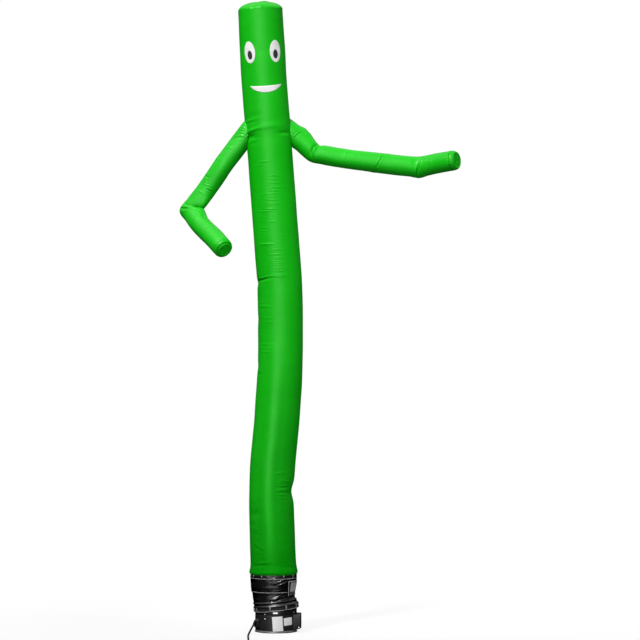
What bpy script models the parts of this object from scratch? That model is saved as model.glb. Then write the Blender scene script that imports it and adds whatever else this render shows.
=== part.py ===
"""Inflatable air dancer standing on its fan blower.

A green nylon tube man: a leaning body tube with two bent arms, a domed head cap and a sewn-on face.
A black vinyl sleeve joins its foot to a drum-shaped blower, and a strap in belt loops holds the sleeve on.
A rubber mains cord leaves the blower, runs forward over the ground and ends in a tied coil with its plug.

Frame: metres, +Z up, origin at the centre of the blower's flat base, the face looks along -Y.
Angles round the body are in degrees from the front (-Y), positive towards the dancer's +X side.
"""
import math

import bmesh
import bpy
from mathutils import Vector

# Driving dimensions, in metres
GAP = 0.0003              # left between pieces that touch
SEAM_GAP = 0.0006         # left under a piece that lies on a curved, faceted one
ROOT_GAP = 0.0015         # left round an arm, where its seam meets the folds of the body
FLAP_GAP = 0.0016         # left under the closure, which spans the sleeve's changes of slope
CLOTH = 0.002             # nylon and vinyl, with their seam allowances
PATCH = 0.0012            # face patches
TUBE_RADIUS = 0.2265      # half of an 18 inch tube
BODY_TOP = 6.207          # upper edge, at the tube's axis
BODY_SIDES = 32
ARM_SIDES = 18
SLEEVE_SIDES = 32
CAP_RISE = 0.087          # how far the head cap puffs up
HAND_RISE = 0.014
DRUM_RADIUS = 0.2085      # blower drum and collar
BASE_HEIGHT = 0.016
RIM_OUT = 0.0015          # the base stands this far out of the drum
DRUM_TOP = 0.175
COLLAR_TOP = 0.275
COLLAR_WALL = 0.006
CORD_DIAMETER = 0.018

# Height, sideways place of the axis, and radius of the green tube
BODY_STATIONS = [
    # height, x, radius
    (0.577, -0.0250, 0.2325),
    (0.586, -0.0250, 0.2390),
    (0.600, -0.0250, 0.2420),
    (0.630, -0.0255, 0.2360),
    (0.680, -0.0270, 0.2290),
    (0.908, -0.0350, 0.2265),
    (1.150, -0.0420, 0.2255),
    (1.308, -0.0450, 0.2250),
    (1.508, -0.0400, 0.2250),
    (1.708, -0.0300, 0.2260),
    (1.908, -0.0100, 0.2265),
    (2.108, 0.0080, 0.2265),
    (2.308, 0.0220, 0.2265),
    (2.508, 0.0350, 0.2265),
    (2.708, 0.0430, 0.2250),
    (2.958, 0.0450, 0.2250),
    (3.308, 0.0420, 0.2260),
    (3.508, 0.0350, 0.2250),
    (3.908, 0.0050, 0.2250),
    (4.308, -0.0250, 0.2250),
    (4.708, -0.0550, 0.2250),
    (5.008, -0.0780, 0.2265),
    (5.208, -0.0950, 0.2265),
    (5.508, -0.1190, 0.2270),
    (5.808, -0.1350, 0.2265),
    (6.207, -0.1570, 0.2225),
]

# Main folds of the body: a ridge (depth above 0) or a trough (below 0) that fades out at its ends
BODY_FOLDS = [
    # height, angle, half angle, depth, half height, climb per degree
    (5.045, 10, 105, 0.006, 0.030, 0.00030),
    (4.985, -18, 85, -0.013, 0.026, 0.00035),
    (5.150, -45, 50, -0.005, 0.030, 0.00030),
    (3.500, -80, 70, -0.010, 0.040, 0.00060),
    (1.410, 95, 75, -0.027, 0.085, 0.00000),
    (0.960, -35, 45, -0.007, 0.120, 0.00150),
    (3.120, -95, 40, -0.005, 0.060, 0.00000),
    (2.640, -95, 40, -0.006, 0.050, 0.00000),
]
# Heights between which extra rings follow those folds
FOLD_RINGS = [5.23, 5.17, 5.12, 5.08, 5.045, 5.01, 4.975, 4.94, 4.90, 3.56, 3.50, 3.44, 3.12, 2.64,
              1.49, 1.45, 1.41, 1.37, 1.33, 1.02]
RING_PITCH = 0.17

# Arms: centre of each ring, and its half width in and across the plane of the bend. A kink is a sharp bend.
ARM_LEFT = [
    # x, y, z, in plane, across, kink
    (-0.395, 0.015, 4.839, 0.1000, 0.0985, False),
    (-0.495, 0.030, 4.710, 0.0985, 0.0985, False),
    (-0.678, 0.080, 4.447, 0.0970, 0.0975, False),
    (-0.860, 0.120, 4.211, 0.1200, 0.1000, True),
    (-0.754, -0.060, 4.067, 0.1000, 0.0970, False),
    (-0.600, -0.276, 3.914, 0.1000, 0.0985, False),
    (-0.508, -0.415, 3.811, 0.0990, 0.0980, False),
]
ARM_LEFT_ROOT = (-0.295, 0.0, 4.970)
ARM_RIGHT = [
    # x, y, z, in plane, across, kink
    (0.278, 0.030, 4.891, 0.1090, 0.1020, False),
    (0.388, 0.020, 4.779, 0.0950, 0.0960, True),
    (0.640, 0.015, 4.735, 0.0965, 0.0975, False),
    (1.000, 0.010, 4.688, 0.1010, 0.1000, False),
    (1.240, 0.005, 4.659, 0.1025, 0.1010, False),
    (1.428, 0.000, 4.640, 0.1080, 0.1000, True),
    (1.616, -0.100, 4.676, 0.1010, 0.1000, False),
    (1.787, -0.205, 4.700, 0.0990, 0.0985, False),
]
ARM_RIGHT_ROOT = (0.153, 0.033, 4.985)
KINK_REACH = 0.085        # how far a kink pulls on the tube each side of it
HOLE_SHARE = 0.86         # the hole under an arm, as a share of the arm, and how far its cutter goes in
HOLE_REACH = 1.25

# Face, as angles from the front and heights along the head's axis
EYE_ANGLE = 33.8
EYE_HEIGHT = 5.7775
EYE_SIZE = (0.131, 0.221)
PUPIL_DROP = 0.0335
PUPIL_SIZE = (0.053, 0.089)
MOUTH_FROM = -38.0
MOUTH_TO = 48.0
MOUTH_CORNER = 5.4485
MOUTH_TOP_SAG = 0.0125
MOUTH_DEPTH = 0.0785

# Black vinyl sleeve, upper panel
SLEEVE_UPPER = [
    # height, x, radius
    (0.3980, -0.0290, 0.2170),
    (0.4200, -0.0285, 0.2195),
    (0.4430, -0.0280, 0.2230),
    (0.4830, -0.0255, 0.2280),
    (0.5160, -0.0247, 0.2310),
    (0.5370, -0.0245, 0.2312),
    (0.5760, -0.0250, 0.2305),
]
BINDING_FOOT = 0.537
BINDING_TOP = 0.5755
BINDING_THICK = 0.0015
# Lower panel with its hem: rise is the height above the hem's lower edge
HEM_HEIGHT = 0.2215
HEM_TILT = 0.11           # the hem climbs this much per metre towards +X
SLEEVE_LOWER = [
    # rise, x, radius
    (0.0000, 0.0045, 0.2235),
    (0.0060, 0.0040, 0.2245),
    (0.0110, 0.0025, 0.2180),
    (0.0330, 0.0010, 0.2165),
    (0.0390, 0.0005, 0.2225),
    (0.0570, -0.0030, 0.2210),
    (0.0660, -0.0060, 0.2145),
    (0.0780, -0.0095, 0.2140),
    (0.0860, -0.0120, 0.2190),
    (0.0960, -0.0150, 0.2130),
    (0.1250, -0.0220, 0.2085),
    (0.1600, -0.0255, 0.2095),
    (0.1890, -0.0275, 0.2125),
]
HEM_RISE = 0.0860         # up to here the rings keep the hem's tilt
STRAP_RISE = (0.0125, 0.0315)
STRAP_THICK = 0.0022
LOOP_RISE = (0.0030, 0.0450)
LOOP_WIDTH = 0.014
LOOP_THICK = 0.0016
LOOP_SEAT = 0.0018        # how far off the hem its ends lie, and its middle, over the strap
LOOP_OVER = 0.0055
LOOP_ANGLES = [-57, -14.5, 27, 62, 102, 142, 182, 222, 262]

# Closure on the sleeve: angles from and to, heights from and to
CLOSURE_FLAP = (41.5, 92.0, 0.3630, 0.5130)
CLOSURE_PANEL = (51.0, 84.0, 0.4100, 0.4950)
FLAP_THICK = 0.0015
PANEL_THICK = 0.003

# Blower fittings on the drum: angle, height
RIVETS = [(-30.9, 0.187), (-30.9, 0.1405), (60.2, 0.202)]
RIVET_RADIUS = 0.0045
RIVET_HEIGHT = 0.0025
PLATE_LARGE = (-8.8, 19.8, 0.0190, 0.1655)
PLATE_SMALL = (23.0, 50.2, 0.0770, 0.1525)
PLATE_THICK = 0.001
PLATE_TILT = 4.0          # both plates are stuck on a little askew, anticlockwise, in degrees
CLIP = (-7.3, 5.6, 0.1940, 0.2110)
CLIP_THICK = 0.004
BOX_OUT = 0.254           # the side box reaches this far along +X
BOX_HALF_DEPTH = 0.12
BOX_TOP = 0.178
BOX_CORNER = 0.018
BOX_FOOT_IN = 0.019       # its underside climbs outwards from here, at x BOX_FOOT_FROM, to its outer wall
BOX_FOOT_OUT = 0.043
BOX_FOOT_FROM = 0.17
SCREW_PLACE = (0.228, 0.052)

# Cord: from the strain relief's tip, forward over the ground, to the coil
GLAND_ANGLE = -58.0
GLAND_HALF_WIDTH = 0.028
GLAND_REACH = 0.030
GLAND_HEIGHTS = (0.052, 0.138, 0.118)   # foot, top at the drum, top at the outside
RELIEF_AIM = (-0.36, -0.70, -0.62)
RELIEF_LENGTH = 0.045
RELIEF_RADII = (0.0165, 0.0110)
GROUND = 0.0095           # height of the cord's centre where it lies on the ground
LIE = 0.0108              # and in the coil, which lies on its tie
CORD_ROUTE = [
    (-0.2185, -0.1582, 0.0868),
    (-0.2293, -0.1790, 0.0684),
    (-0.2405, -0.2030, 0.0490),
    (-0.2510, -0.2320, 0.0312),
    (-0.2585, -0.2680, 0.0183),
    (-0.2630, -0.3100, 0.0117),
    (-0.2650, -0.3600, 0.0098),
    (-0.2665, -0.4500, GROUND),
    (-0.2660, -0.5400, GROUND),
    (-0.2630, -0.6300, GROUND),
    (-0.2590, -0.7200, GROUND),
    (-0.2565, -0.8000, GROUND),
    (-0.2560, -0.8800, GROUND),
    (-0.2570, -0.9600, GROUND),
    (-0.2593, -1.0300, GROUND),
    (-0.2612, -1.1000, 0.0100),
    (-0.2619, -1.1500, 0.0105),
    (-0.2620, -1.1860, LIE),
]
COIL_CENTRE = (-0.1540, -1.2500)
COIL_RADIUS = 0.0990      # middle of its turns: two lie side by side on the ground, the rest on top
COIL_TOP_LIFT = 0.0182    # the upper turn's centre above the lower ones'
COIL_RADII = (COIL_RADIUS - CORD_DIAMETER, COIL_RADIUS + CORD_DIAMETER)
COIL_HEIGHTS = (LIE - CORD_DIAMETER / 2, LIE + COIL_TOP_LIFT + CORD_DIAMETER / 2)
TAIL_ROUTE = [
    (-0.0700, -1.3490, 0.0235),
    (-0.0560, -1.3492, 0.0200),
    (-0.0420, -1.3495, 0.0172),
    (-0.0280, -1.3500, 0.0155),
    (-0.0140, -1.3505, 0.0148),
]
TIE_ANGLE = 45.0
TIE_WIDTH = 0.020
TIE_THICK = 0.0015
PLUG_LENGTH = 0.055
PLUG_HALF = (0.018, 0.0148)
BLADE_LENGTH = 0.017
BLADE_HALF = (0.00075, 0.0032)
BLADE_APART = 0.0128
BLADE_LIFT = 0.004
PIN_LENGTH = 0.020
PIN_RADII = (0.0024, 0.0020)
PIN_DROP = 0.0065


# Helpers

def empty_scene():
    for thing in list(bpy.data.objects):
        bpy.data.objects.remove(thing, do_unlink=True)


def material(name, colour, roughness, metallic=0.0):
    made = bpy.data.materials.get(name)
    if made is None:
        made = bpy.data.materials.new(name)
        made.use_nodes = True
        shader = made.node_tree.nodes["Principled BSDF"]
        shader.inputs["Base Color"].default_value = (*colour, 1.0)
        shader.inputs["Roughness"].default_value = roughness
        shader.inputs["Metallic"].default_value = metallic
    return made


def green_nylon():
    return material("green_nylon", (0.018, 0.45, 0.022), 0.42)


def black_vinyl():
    return material("black_vinyl", (0.012, 0.012, 0.013), 0.28)


def black_webbing():
    return material("black_webbing", (0.02, 0.02, 0.02), 0.8)


def white_cloth():
    return material("white_cloth", (0.80, 0.82, 0.80), 0.6)


def dark_cloth():
    return material("dark_cloth", (0.015, 0.017, 0.02), 0.6)


def black_plastic():
    return material("black_plastic", (0.016, 0.016, 0.017), 0.45)


def plate_plastic():
    return material("plate_plastic", (0.72, 0.72, 0.72), 0.4)


def bright_metal():
    return material("bright_metal", (0.6, 0.6, 0.6), 0.3, 1.0)


def black_rubber():
    return material("black_rubber", (0.012, 0.012, 0.012), 0.6)


def finish(name, mesh, look, smooth=True):
    """One named object from a bmesh, with outward faces."""
    bmesh.ops.recalc_face_normals(mesh, faces=mesh.faces)
    data = bpy.data.meshes.new(name)
    mesh.to_mesh(data)
    mesh.free()
    if smooth:
        data.shade_smooth()
        data.set_sharp_from_angle(angle=math.radians(40))
    data.materials.append(look)
    thing = bpy.data.objects.new(name, data)
    bpy.context.scene.collection.objects.link(thing)
    return thing


def bridge(mesh, ring_a, ring_b):
    count = len(ring_a)
    for i in range(count):
        j = (i + 1) % count
        mesh.faces.new((ring_a[i], ring_a[j], ring_b[j], ring_b[i]))


def sleeve_of(name, outer, inner, look):
    """A tube of cloth from its outer and inner rings, listed from one end to the other."""
    mesh = bmesh.new()
    outside = [[mesh.verts.new(p) for p in ring] for ring in outer]
    inside = [[mesh.verts.new(p) for p in ring] for ring in inner]
    for layer in (outside, inside):
        for ring_a, ring_b in zip(layer, layer[1:]):
            bridge(mesh, ring_a, ring_b)
    bridge(mesh, outside[0], inside[0])
    bridge(mesh, outside[-1], inside[-1])
    return finish(name, mesh, look)


def dome_of(name, outer, outer_tip, inner, inner_tip, look):
    """A domed round of cloth: rings from its rim up to a tip, outside and inside."""
    mesh = bmesh.new()
    rims = []
    for rings, tip in ((outer, outer_tip), (inner, inner_tip)):
        layer = [[mesh.verts.new(p) for p in ring] for ring in rings]
        for ring_a, ring_b in zip(layer, layer[1:]):
            bridge(mesh, ring_a, ring_b)
        point = mesh.verts.new(tip)
        last = layer[-1]
        for i in range(len(last)):
            mesh.faces.new((last[i], last[(i + 1) % len(last)], point))
        rims.append(layer[0])
    bridge(mesh, rims[0], rims[1])
    return finish(name, mesh, look)


def sheet_of(name, low, high, look, smooth=True):
    """A patch from two grids of points, low and high, as rows of equal length."""
    mesh = bmesh.new()
    rows, columns = len(low), len(low[0])
    layers = [[[mesh.verts.new(p) for p in row] for row in grid] for grid in (low, high)]
    for layer in layers:
        for r in range(rows - 1):
            for c in range(columns - 1):
                mesh.faces.new((layer[r][c], layer[r][c + 1], layer[r + 1][c + 1], layer[r + 1][c]))
    edge = [(0, c) for c in range(columns)]
    edge += [(r, columns - 1) for r in range(1, rows)]
    edge += [(rows - 1, c) for c in range(columns - 2, -1, -1)]
    edge += [(r, 0) for r in range(rows - 2, 0, -1)]
    for (r0, c0), (r1, c1) in zip(edge, edge[1:] + edge[:1]):
        mesh.faces.new((layers[0][r0][c0], layers[0][r1][c1], layers[1][r1][c1], layers[1][r0][c0]))
    return finish(name, mesh, look, smooth)


def smooth_value(rows, at, column):
    """Value of a column at a height, on a smooth curve through the rows."""
    heights = [row[0] for row in rows]
    values = [row[column] for row in rows]
    last = len(rows) - 1
    at = min(max(at, heights[0]), heights[last])
    k = 0
    while k < last - 1 and at > heights[k + 1]:
        k += 1

    def slope(i):
        lo, hi = max(i - 1, 0), min(i + 1, last)
        return (values[hi] - values[lo]) / (heights[hi] - heights[lo])

    span = heights[k + 1] - heights[k]
    t = (at - heights[k]) / span
    a = values[k] * (2 * t**3 - 3 * t**2 + 1) + values[k + 1] * (3 * t**2 - 2 * t**3)
    b = slope(k) * (t**3 - 2 * t**2 + t) + slope(k + 1) * (t**3 - t**2)
    return a + span * b


def around(angle):
    """Unit vector at an angle from the front, positive towards +X."""
    turn = math.radians(angle)
    return Vector((math.sin(turn), -math.cos(turn), 0.0))


def angles_round(sides):
    return [360.0 * i / sides for i in range(sides)]


# Body

def body_axis(height):
    return Vector((smooth_value(BODY_STATIONS, height, 1), 0.0, height))


def body_lean(height):
    """Unit vector along the tube at a height."""
    step = 0.02
    low = max(height - step, BODY_STATIONS[0][0])
    high = min(height + step, BODY_TOP)
    return (body_axis(high) - body_axis(low)).normalized()


def body_radius(height, angle):
    radius = smooth_value(BODY_STATIONS, height, 2)
    for middle, heading, half, depth, half_height, climb in BODY_FOLDS:
        off = (angle - heading + 180) % 360 - 180
        if abs(off) < half:
            fade = math.cos(math.pi / 2 * off / half) ** 2
            rise = (height - middle - climb * off) / half_height
            radius += depth * fade * math.exp(-rise * rise)
    return radius


def body_point(height, angle, off=0.0):
    """Point on the tube's outer face, or off it."""
    lean = body_lean(height)
    sideways = Vector((lean.z, 0.0, -lean.x))
    turn = math.radians(angle)
    out = sideways * math.sin(turn) - Vector((0, 1, 0)) * math.cos(turn)
    return body_axis(height) + out * (body_radius(height, angle) + off)


def body_heights():
    heights = {row[0] for row in BODY_STATIONS} | set(FOLD_RINGS)
    kept = []
    for height in sorted(heights):
        while kept and height - kept[-1] > RING_PITCH * 1.5:
            kept.append(kept[-1] + RING_PITCH)
        if not kept or height - kept[-1] > 0.008:
            kept.append(height)
    return kept


def clear_of_body(point):
    """Distance from a point to the tube's outer face."""
    height = point.z
    for _ in range(4):
        lean = body_lean(height)
        height += (point - body_axis(height)).dot(lean) * lean.z
    from_axis = point - body_axis(height)
    angle = math.degrees(math.atan2(from_axis.x, -from_axis.y))
    return from_axis.length - body_radius(height, angle)


def make_body():
    heights = body_heights()
    turns = angles_round(BODY_SIDES)
    outer = [[body_point(h, a) for a in turns] for h in heights]
    inner = [[body_point(h, a, -CLOTH) for a in turns] for h in heights]
    return sleeve_of("body_tube", outer, inner, green_nylon())


def make_head_cap():
    """The cap stands on the tube's upper edge and swells to a low dome."""
    lean = body_lean(BODY_TOP)
    foot = body_axis(BODY_TOP) + lean * GAP
    sideways = Vector((lean.z, 0.0, -lean.x))
    radius = body_radius(BODY_TOP, 0)

    def ring(size, rise):
        points = []
        for angle in angles_round(BODY_SIDES):
            turn = math.radians(angle)
            out = sideways * math.sin(turn) - Vector((0, 1, 0)) * math.cos(turn)
            points.append(foot + out * size + lean * rise)
        return points

    layers = []
    for inset in (0.0, CLOTH):
        rings = []
        for step in (0.0, 0.2, 0.4, 0.6, 0.82):
            turn = math.pi / 2 * step
            rings.append(ring((radius - inset) * math.cos(turn), (CAP_RISE - inset) * math.sin(turn)))
        layers.append((rings, foot + lean * (CAP_RISE - inset)))
    (outer, outer_tip), (inner, inner_tip) = layers
    return dome_of("head_cap", outer, outer_tip, inner, inner_tip, green_nylon())


# Arms

def beside_kink(row, other):
    """A ring close to a kink, on the way to the next row of the table."""
    centre = Vector(row[:3])
    away = Vector(other[:3]) - centre
    share = KINK_REACH / away.length
    wide = other[3] + (min(row[3], other[3]) - other[3]) * (1 - share) / 2
    deep = other[4] + (row[4] - other[4]) * (1 - share) / 2
    return centre + away * share, wide, deep


def arm_rows(rows):
    """The table's rings, with one more close before and after each kink."""
    full = []
    for k, row in enumerate(rows):
        ring = (Vector(row[:3]), row[3], row[4])
        if row[5]:
            full += [beside_kink(row, rows[k - 1]), ring, beside_kink(row, rows[k + 1])]
        else:
            full.append(ring)
    return full


def arm_rings(rows, root, bend_normal, inset):
    """Rings of an arm from the body out: the first lies on the body, the others cross the arm's line."""
    full = arm_rows(rows)
    centres = [centre for centre, _, _ in full]
    rings = []
    for k, (centre, wide, deep) in enumerate(full):
        came = (centre - centres[k - 1]).normalized() if k else (centre - Vector(root)).normalized()
        goes = (centres[k + 1] - centre).normalized() if k + 1 < len(full) else came
        along = (came + goes).normalized()
        across = (bend_normal - along * bend_normal.dot(along)).normalized()
        in_plane = across.cross(along)
        ring = []
        for angle in angles_round(ARM_SIDES):
            turn = math.radians(angle)
            ring.append(centre + in_plane * (wide - inset) * math.cos(turn)
                        + across * (deep - inset) * math.sin(turn))
        rings.append(ring)
    towards = (Vector(root) - centres[0]).normalized()
    seat = [slide_to_body(point, towards) for point in rings[0]]
    middle = [a.lerp(b, 0.5) for a, b in zip(seat, rings[0])]
    return [seat, middle] + rings


def slide_to_body(point, towards):
    """Move a point along a direction until it meets the body's face."""
    near, far = 0.0, 0.4
    while clear_of_body(point + towards * far) > 0 and far < 1.0:
        far += 0.1
    for _ in range(40):
        middle = (near + far) / 2
        if clear_of_body(point + towards * middle) > ROOT_GAP:
            near = middle
        else:
            far = middle
    return point + towards * near


def bend_plane(rows):
    """Normal of the plane in which the arm's sharpest kink lies."""
    for before, row, after in zip(rows, rows[1:], rows[2:]):
        if row[5]:
            came = Vector(row[:3]) - Vector(before[:3])
            goes = Vector(after[:3]) - Vector(row[:3])
            return came.cross(goes).normalized()
    return Vector((0, 1, 0))


def make_arm(side, rows, root):
    normal = bend_plane(rows)
    outer = arm_rings(rows, root, normal, 0.0)
    inner = arm_rings(rows, root, normal, CLOTH)
    sleeve_of("arm_" + side, outer, inner, green_nylon())
    make_hand_cap(side, outer, inner)
    return outer[2]


def make_hand_cap(side, outer, inner):
    """A low domed round on the arm's end."""
    rim_out, rim_in = outer[-1], inner[-1]
    centre = sum(rim_out, Vector()) / len(rim_out)
    before = sum(outer[-2], Vector()) / len(outer[-2])
    along = (centre - before).normalized()
    foot = centre + along * GAP
    layers = []
    for rim, inset in ((rim_out, 0.0), (rim_in, CLOTH)):
        rings = []
        for share, rise in ((1.0, 0.0), (0.86, 0.62), (0.5, 0.92)):
            lift = along * (rise * (HAND_RISE - inset) + GAP)
            rings.append([centre + (p - centre) * share + lift for p in rim])
        layers.append((rings, foot + along * (HAND_RISE - inset)))
    (outer_rings, outer_tip), (inner_rings, inner_tip) = layers
    dome_of("hand_cap_" + side, outer_rings, outer_tip, inner_rings, inner_tip, green_nylon())


def cut_arm_hole(body, ring, root, side):
    """The hole in the body's wall under an arm, a little smaller than the arm."""
    centre = sum(ring, Vector()) / len(ring)
    inwards = Vector(root) - centre
    start = [centre + (p - centre) * HOLE_SHARE for p in ring]
    end = [p + inwards * HOLE_REACH for p in start]
    mesh = bmesh.new()
    rings = [[mesh.verts.new(p) for p in points] for points in (start, end)]
    bridge(mesh, rings[0], rings[1])
    for points in rings:
        mesh.faces.new(points)
    cutter = finish("hole_cutter_" + side, mesh, green_nylon(), smooth=False)
    cutter.hide_render = True
    cutter.display_type = "WIRE"
    cut = body.modifiers.new("arm_hole_" + side, "BOOLEAN")
    cut.operation = "DIFFERENCE"
    cut.solver = "EXACT"
    cut.object = cutter


# Face

def oval_patch(name, angle, height, size, off, look):
    """An oval of cloth on the head, in a fan of rings round its middle."""
    segments = 20
    radius = TUBE_RADIUS
    mesh = bmesh.new()
    rims = []
    for lift in (off, off + PATCH):
        middle = mesh.verts.new(body_point(height, angle, lift))
        layer = []
        for share in (0.36, 0.7, 1.0):
            ring = []
            for i in range(segments):
                turn = 2 * math.pi * i / segments
                sideways = share * size[0] / 2 * math.cos(turn)
                upward = share * size[1] / 2 * math.sin(turn)
                at = angle + math.degrees(sideways / radius)
                ring.append(mesh.verts.new(body_point(height + upward, at, lift)))
            layer.append(ring)
        for i in range(segments):
            mesh.faces.new((layer[0][i], layer[0][(i + 1) % segments], middle))
        bridge(mesh, layer[0], layer[1])
        bridge(mesh, layer[1], layer[2])
        rims.append(layer[2])
    bridge(mesh, rims[0], rims[1])
    finish(name, mesh, look)


def make_mouth():
    """A crescent with a nearly straight upper edge."""
    columns = 20
    rows = 3
    grids = []
    for lift in (SEAM_GAP, SEAM_GAP + PATCH):
        grid = []
        for r in range(rows):
            line = []
            for c in range(columns):
                t = -0.985 + 1.97 * c / (columns - 1)
                angle = MOUTH_FROM + (MOUTH_TO - MOUTH_FROM) * (t + 1) / 2
                belly = 1 - t * t
                upper = MOUTH_CORNER - MOUTH_TOP_SAG * belly
                lower = MOUTH_CORNER - MOUTH_DEPTH * belly ** 0.8
                height = lower + (upper - lower) * r / (rows - 1)
                line.append(body_point(height, angle, lift))
            grid.append(line)
        grids.append(grid)
    sheet_of("mouth", grids[0], grids[1], white_cloth())


def make_face():
    for side, sign in (("left", -1), ("right", 1)):
        angle = sign * EYE_ANGLE
        oval_patch("eye_" + side, angle, EYE_HEIGHT, EYE_SIZE, SEAM_GAP, white_cloth())
        above = SEAM_GAP * 2 + PATCH
        oval_patch("pupil_" + side, angle, EYE_HEIGHT - PUPIL_DROP, PUPIL_SIZE, above, dark_cloth())
    make_mouth()


# Sleeve

def upper_point(height, angle, off=0.0):
    """Point on the sleeve's upper panel; below the panel it goes straight down."""
    x = smooth_value(SLEEVE_UPPER, height, 1)
    radius = smooth_value(SLEEVE_UPPER, height, 2)
    return Vector((x, 0.0, height)) + around(angle) * (radius + off)


def lower_point(rise, angle, off=0.0):
    """Point on the sleeve's lower panel, whose hem is tilted."""
    x = smooth_value(SLEEVE_LOWER, rise, 1)
    radius = smooth_value(SLEEVE_LOWER, rise, 2)
    top = SLEEVE_LOWER[-1][0]
    tilt = HEM_TILT * min(1.0, (top - rise) / (top - HEM_RISE))
    point = Vector((x, 0.0, 0.0)) + around(angle) * (radius + off)
    point.z = HEM_HEIGHT + rise + tilt * point.x
    return point


def make_sleeve():
    turns = angles_round(SLEEVE_SIDES)
    outer = [[upper_point(row[0], a) for a in turns] for row in SLEEVE_UPPER]
    inner = [[upper_point(row[0], a, -CLOTH) for a in turns] for row in SLEEVE_UPPER]
    sleeve_of("sleeve_upper", outer, inner, black_vinyl())
    outer = [[lower_point(row[0], a) for a in turns] for row in SLEEVE_LOWER]
    inner = [[lower_point(row[0], a, -CLOTH) for a in turns] for row in SLEEVE_LOWER]
    sleeve_of("sleeve_lower", outer, inner, black_vinyl())
    heights = (BINDING_FOOT, (BINDING_FOOT + BINDING_TOP) / 2, BINDING_TOP)
    outer = [[upper_point(h, a, GAP + BINDING_THICK) for a in turns] for h in heights]
    inner = [[upper_point(h, a, GAP) for a in turns] for h in heights]
    sleeve_of("sleeve_binding", outer, inner, black_vinyl())


def curved_patch(name, place, box, low, high, look, columns, rows=2, tilt=0.0):
    """A patch on a round wall: place(height, angle, off) gives the wall, tilt turns the patch on it."""
    first, last, foot, top = box
    lean = math.tan(math.radians(tilt))
    arc = math.radians(last - first) * DRUM_RADIUS
    grids = []
    for off in (low, high):
        grid = []
        for r in range(rows):
            up = (top - foot) * (r / (rows - 1) - 0.5)
            line = []
            for c in range(columns):
                along = arc * (c / (columns - 1) - 0.5)
                angle = (first + last) / 2 + math.degrees((along - up * lean) / DRUM_RADIUS)
                line.append(place((foot + top) / 2 + up + along * lean, angle, off))
            grid.append(line)
        grids.append(grid)
    sheet_of(name, grids[0], grids[1], look)


def make_closure():
    step = FLAP_GAP + FLAP_THICK
    curved_patch("closure_flap", upper_point, CLOSURE_FLAP, FLAP_GAP, step, black_vinyl(), 8, 5)
    low = step + FLAP_GAP / 2
    curved_patch("closure_panel", upper_point, CLOSURE_PANEL, low, low + PANEL_THICK, black_vinyl(), 6, 4)


def make_strap():
    turns = angles_round(SLEEVE_SIDES)
    reach = max(lower_point(r, 0).y * -1 for r in STRAP_RISE)
    low = 0.0008
    rings = []
    for off in (low + STRAP_THICK, low):
        layer = []
        for rise in STRAP_RISE:
            extra = reach + lower_point(rise, 0).y
            layer.append([lower_point(rise, a, off + extra) for a in turns])
        rings.append(layer)
    sleeve_of("hem_strap", rings[0], rings[1], black_webbing())


def make_belt_loops():
    """Tabs that stand over the strap, each with its ends down on the hem."""
    foot, top = LOOP_RISE
    profile = [(foot, LOOP_SEAT), (foot + 0.0055, LOOP_OVER - 0.0010), ((foot + top) / 2 - 0.002, LOOP_OVER),
               (top - 0.0075, LOOP_OVER - 0.0005), (top, LOOP_SEAT)]
    for number, angle in enumerate(LOOP_ANGLES, 1):
        half = math.degrees(LOOP_WIDTH / 2 / DRUM_RADIUS)
        grids = []
        for lift in (0.0, LOOP_THICK):
            grid = []
            for rise, out in profile:
                base = lower_point(0.006, 0).y * -1 - lower_point(rise, 0).y * -1
                row = []
                for turn in (angle - half, angle, angle + half):
                    row.append(lower_point(rise, turn, base + out + lift))
                grid.append(row)
            grids.append(grid)
        sheet_of("belt_loop_%d" % number, grids[0], grids[1], black_vinyl())


# Blower

def drum_point(height, angle, off=0.0):
    return Vector((0, 0, height)) + around(angle) * (DRUM_RADIUS + off)


def turned(name, profile, look, sides=40, centre=(0.0, 0.0)):
    """A closed ring or disc turned round a vertical axis from (radius, height) points."""
    mesh = bmesh.new()
    rings = []
    for radius, height in profile:
        if radius == 0:
            rings.append([mesh.verts.new((centre[0], centre[1], height))])
            continue
        ring = []
        for angle in angles_round(sides):
            turn = math.radians(angle)
            ring.append(mesh.verts.new((centre[0] + radius * math.sin(turn),
                                        centre[1] - radius * math.cos(turn), height)))
        rings.append(ring)
    closed = rings if profile[0][0] == 0 else rings + rings[:1]
    for ring_a, ring_b in zip(closed, closed[1:]):
        if len(ring_a) == 1 or len(ring_b) == 1:
            tip, rim = (ring_a[0], ring_b) if len(ring_a) == 1 else (ring_b[0], ring_a)
            for i in range(sides):
                mesh.faces.new((rim[i], rim[(i + 1) % sides], tip))
        else:
            bridge(mesh, ring_a, ring_b)
    return finish(name, mesh, look)


def make_blower():
    rim = DRUM_RADIUS + RIM_OUT
    edge = 0.003
    turned("blower_base", [(0, 0), (rim - edge, 0), (rim, edge), (rim, BASE_HEIGHT - edge),
                           (rim - edge, BASE_HEIGHT), (0, BASE_HEIGHT)], black_plastic())
    foot = BASE_HEIGHT + GAP
    turned("blower_housing", [(0, foot), (DRUM_RADIUS, foot), (DRUM_RADIUS, DRUM_TOP - 0.002),
                              (DRUM_RADIUS - 0.002, DRUM_TOP), (0, DRUM_TOP)], black_plastic())
    inner = DRUM_RADIUS - COLLAR_WALL
    foot = DRUM_TOP + GAP
    turned("blower_collar", [(inner, foot), (DRUM_RADIUS - 0.002, foot), (DRUM_RADIUS, foot + 0.002),
                             (DRUM_RADIUS, COLLAR_TOP - 0.003), (DRUM_RADIUS - 0.003, COLLAR_TOP),
                             (inner, COLLAR_TOP)], black_plastic())


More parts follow.
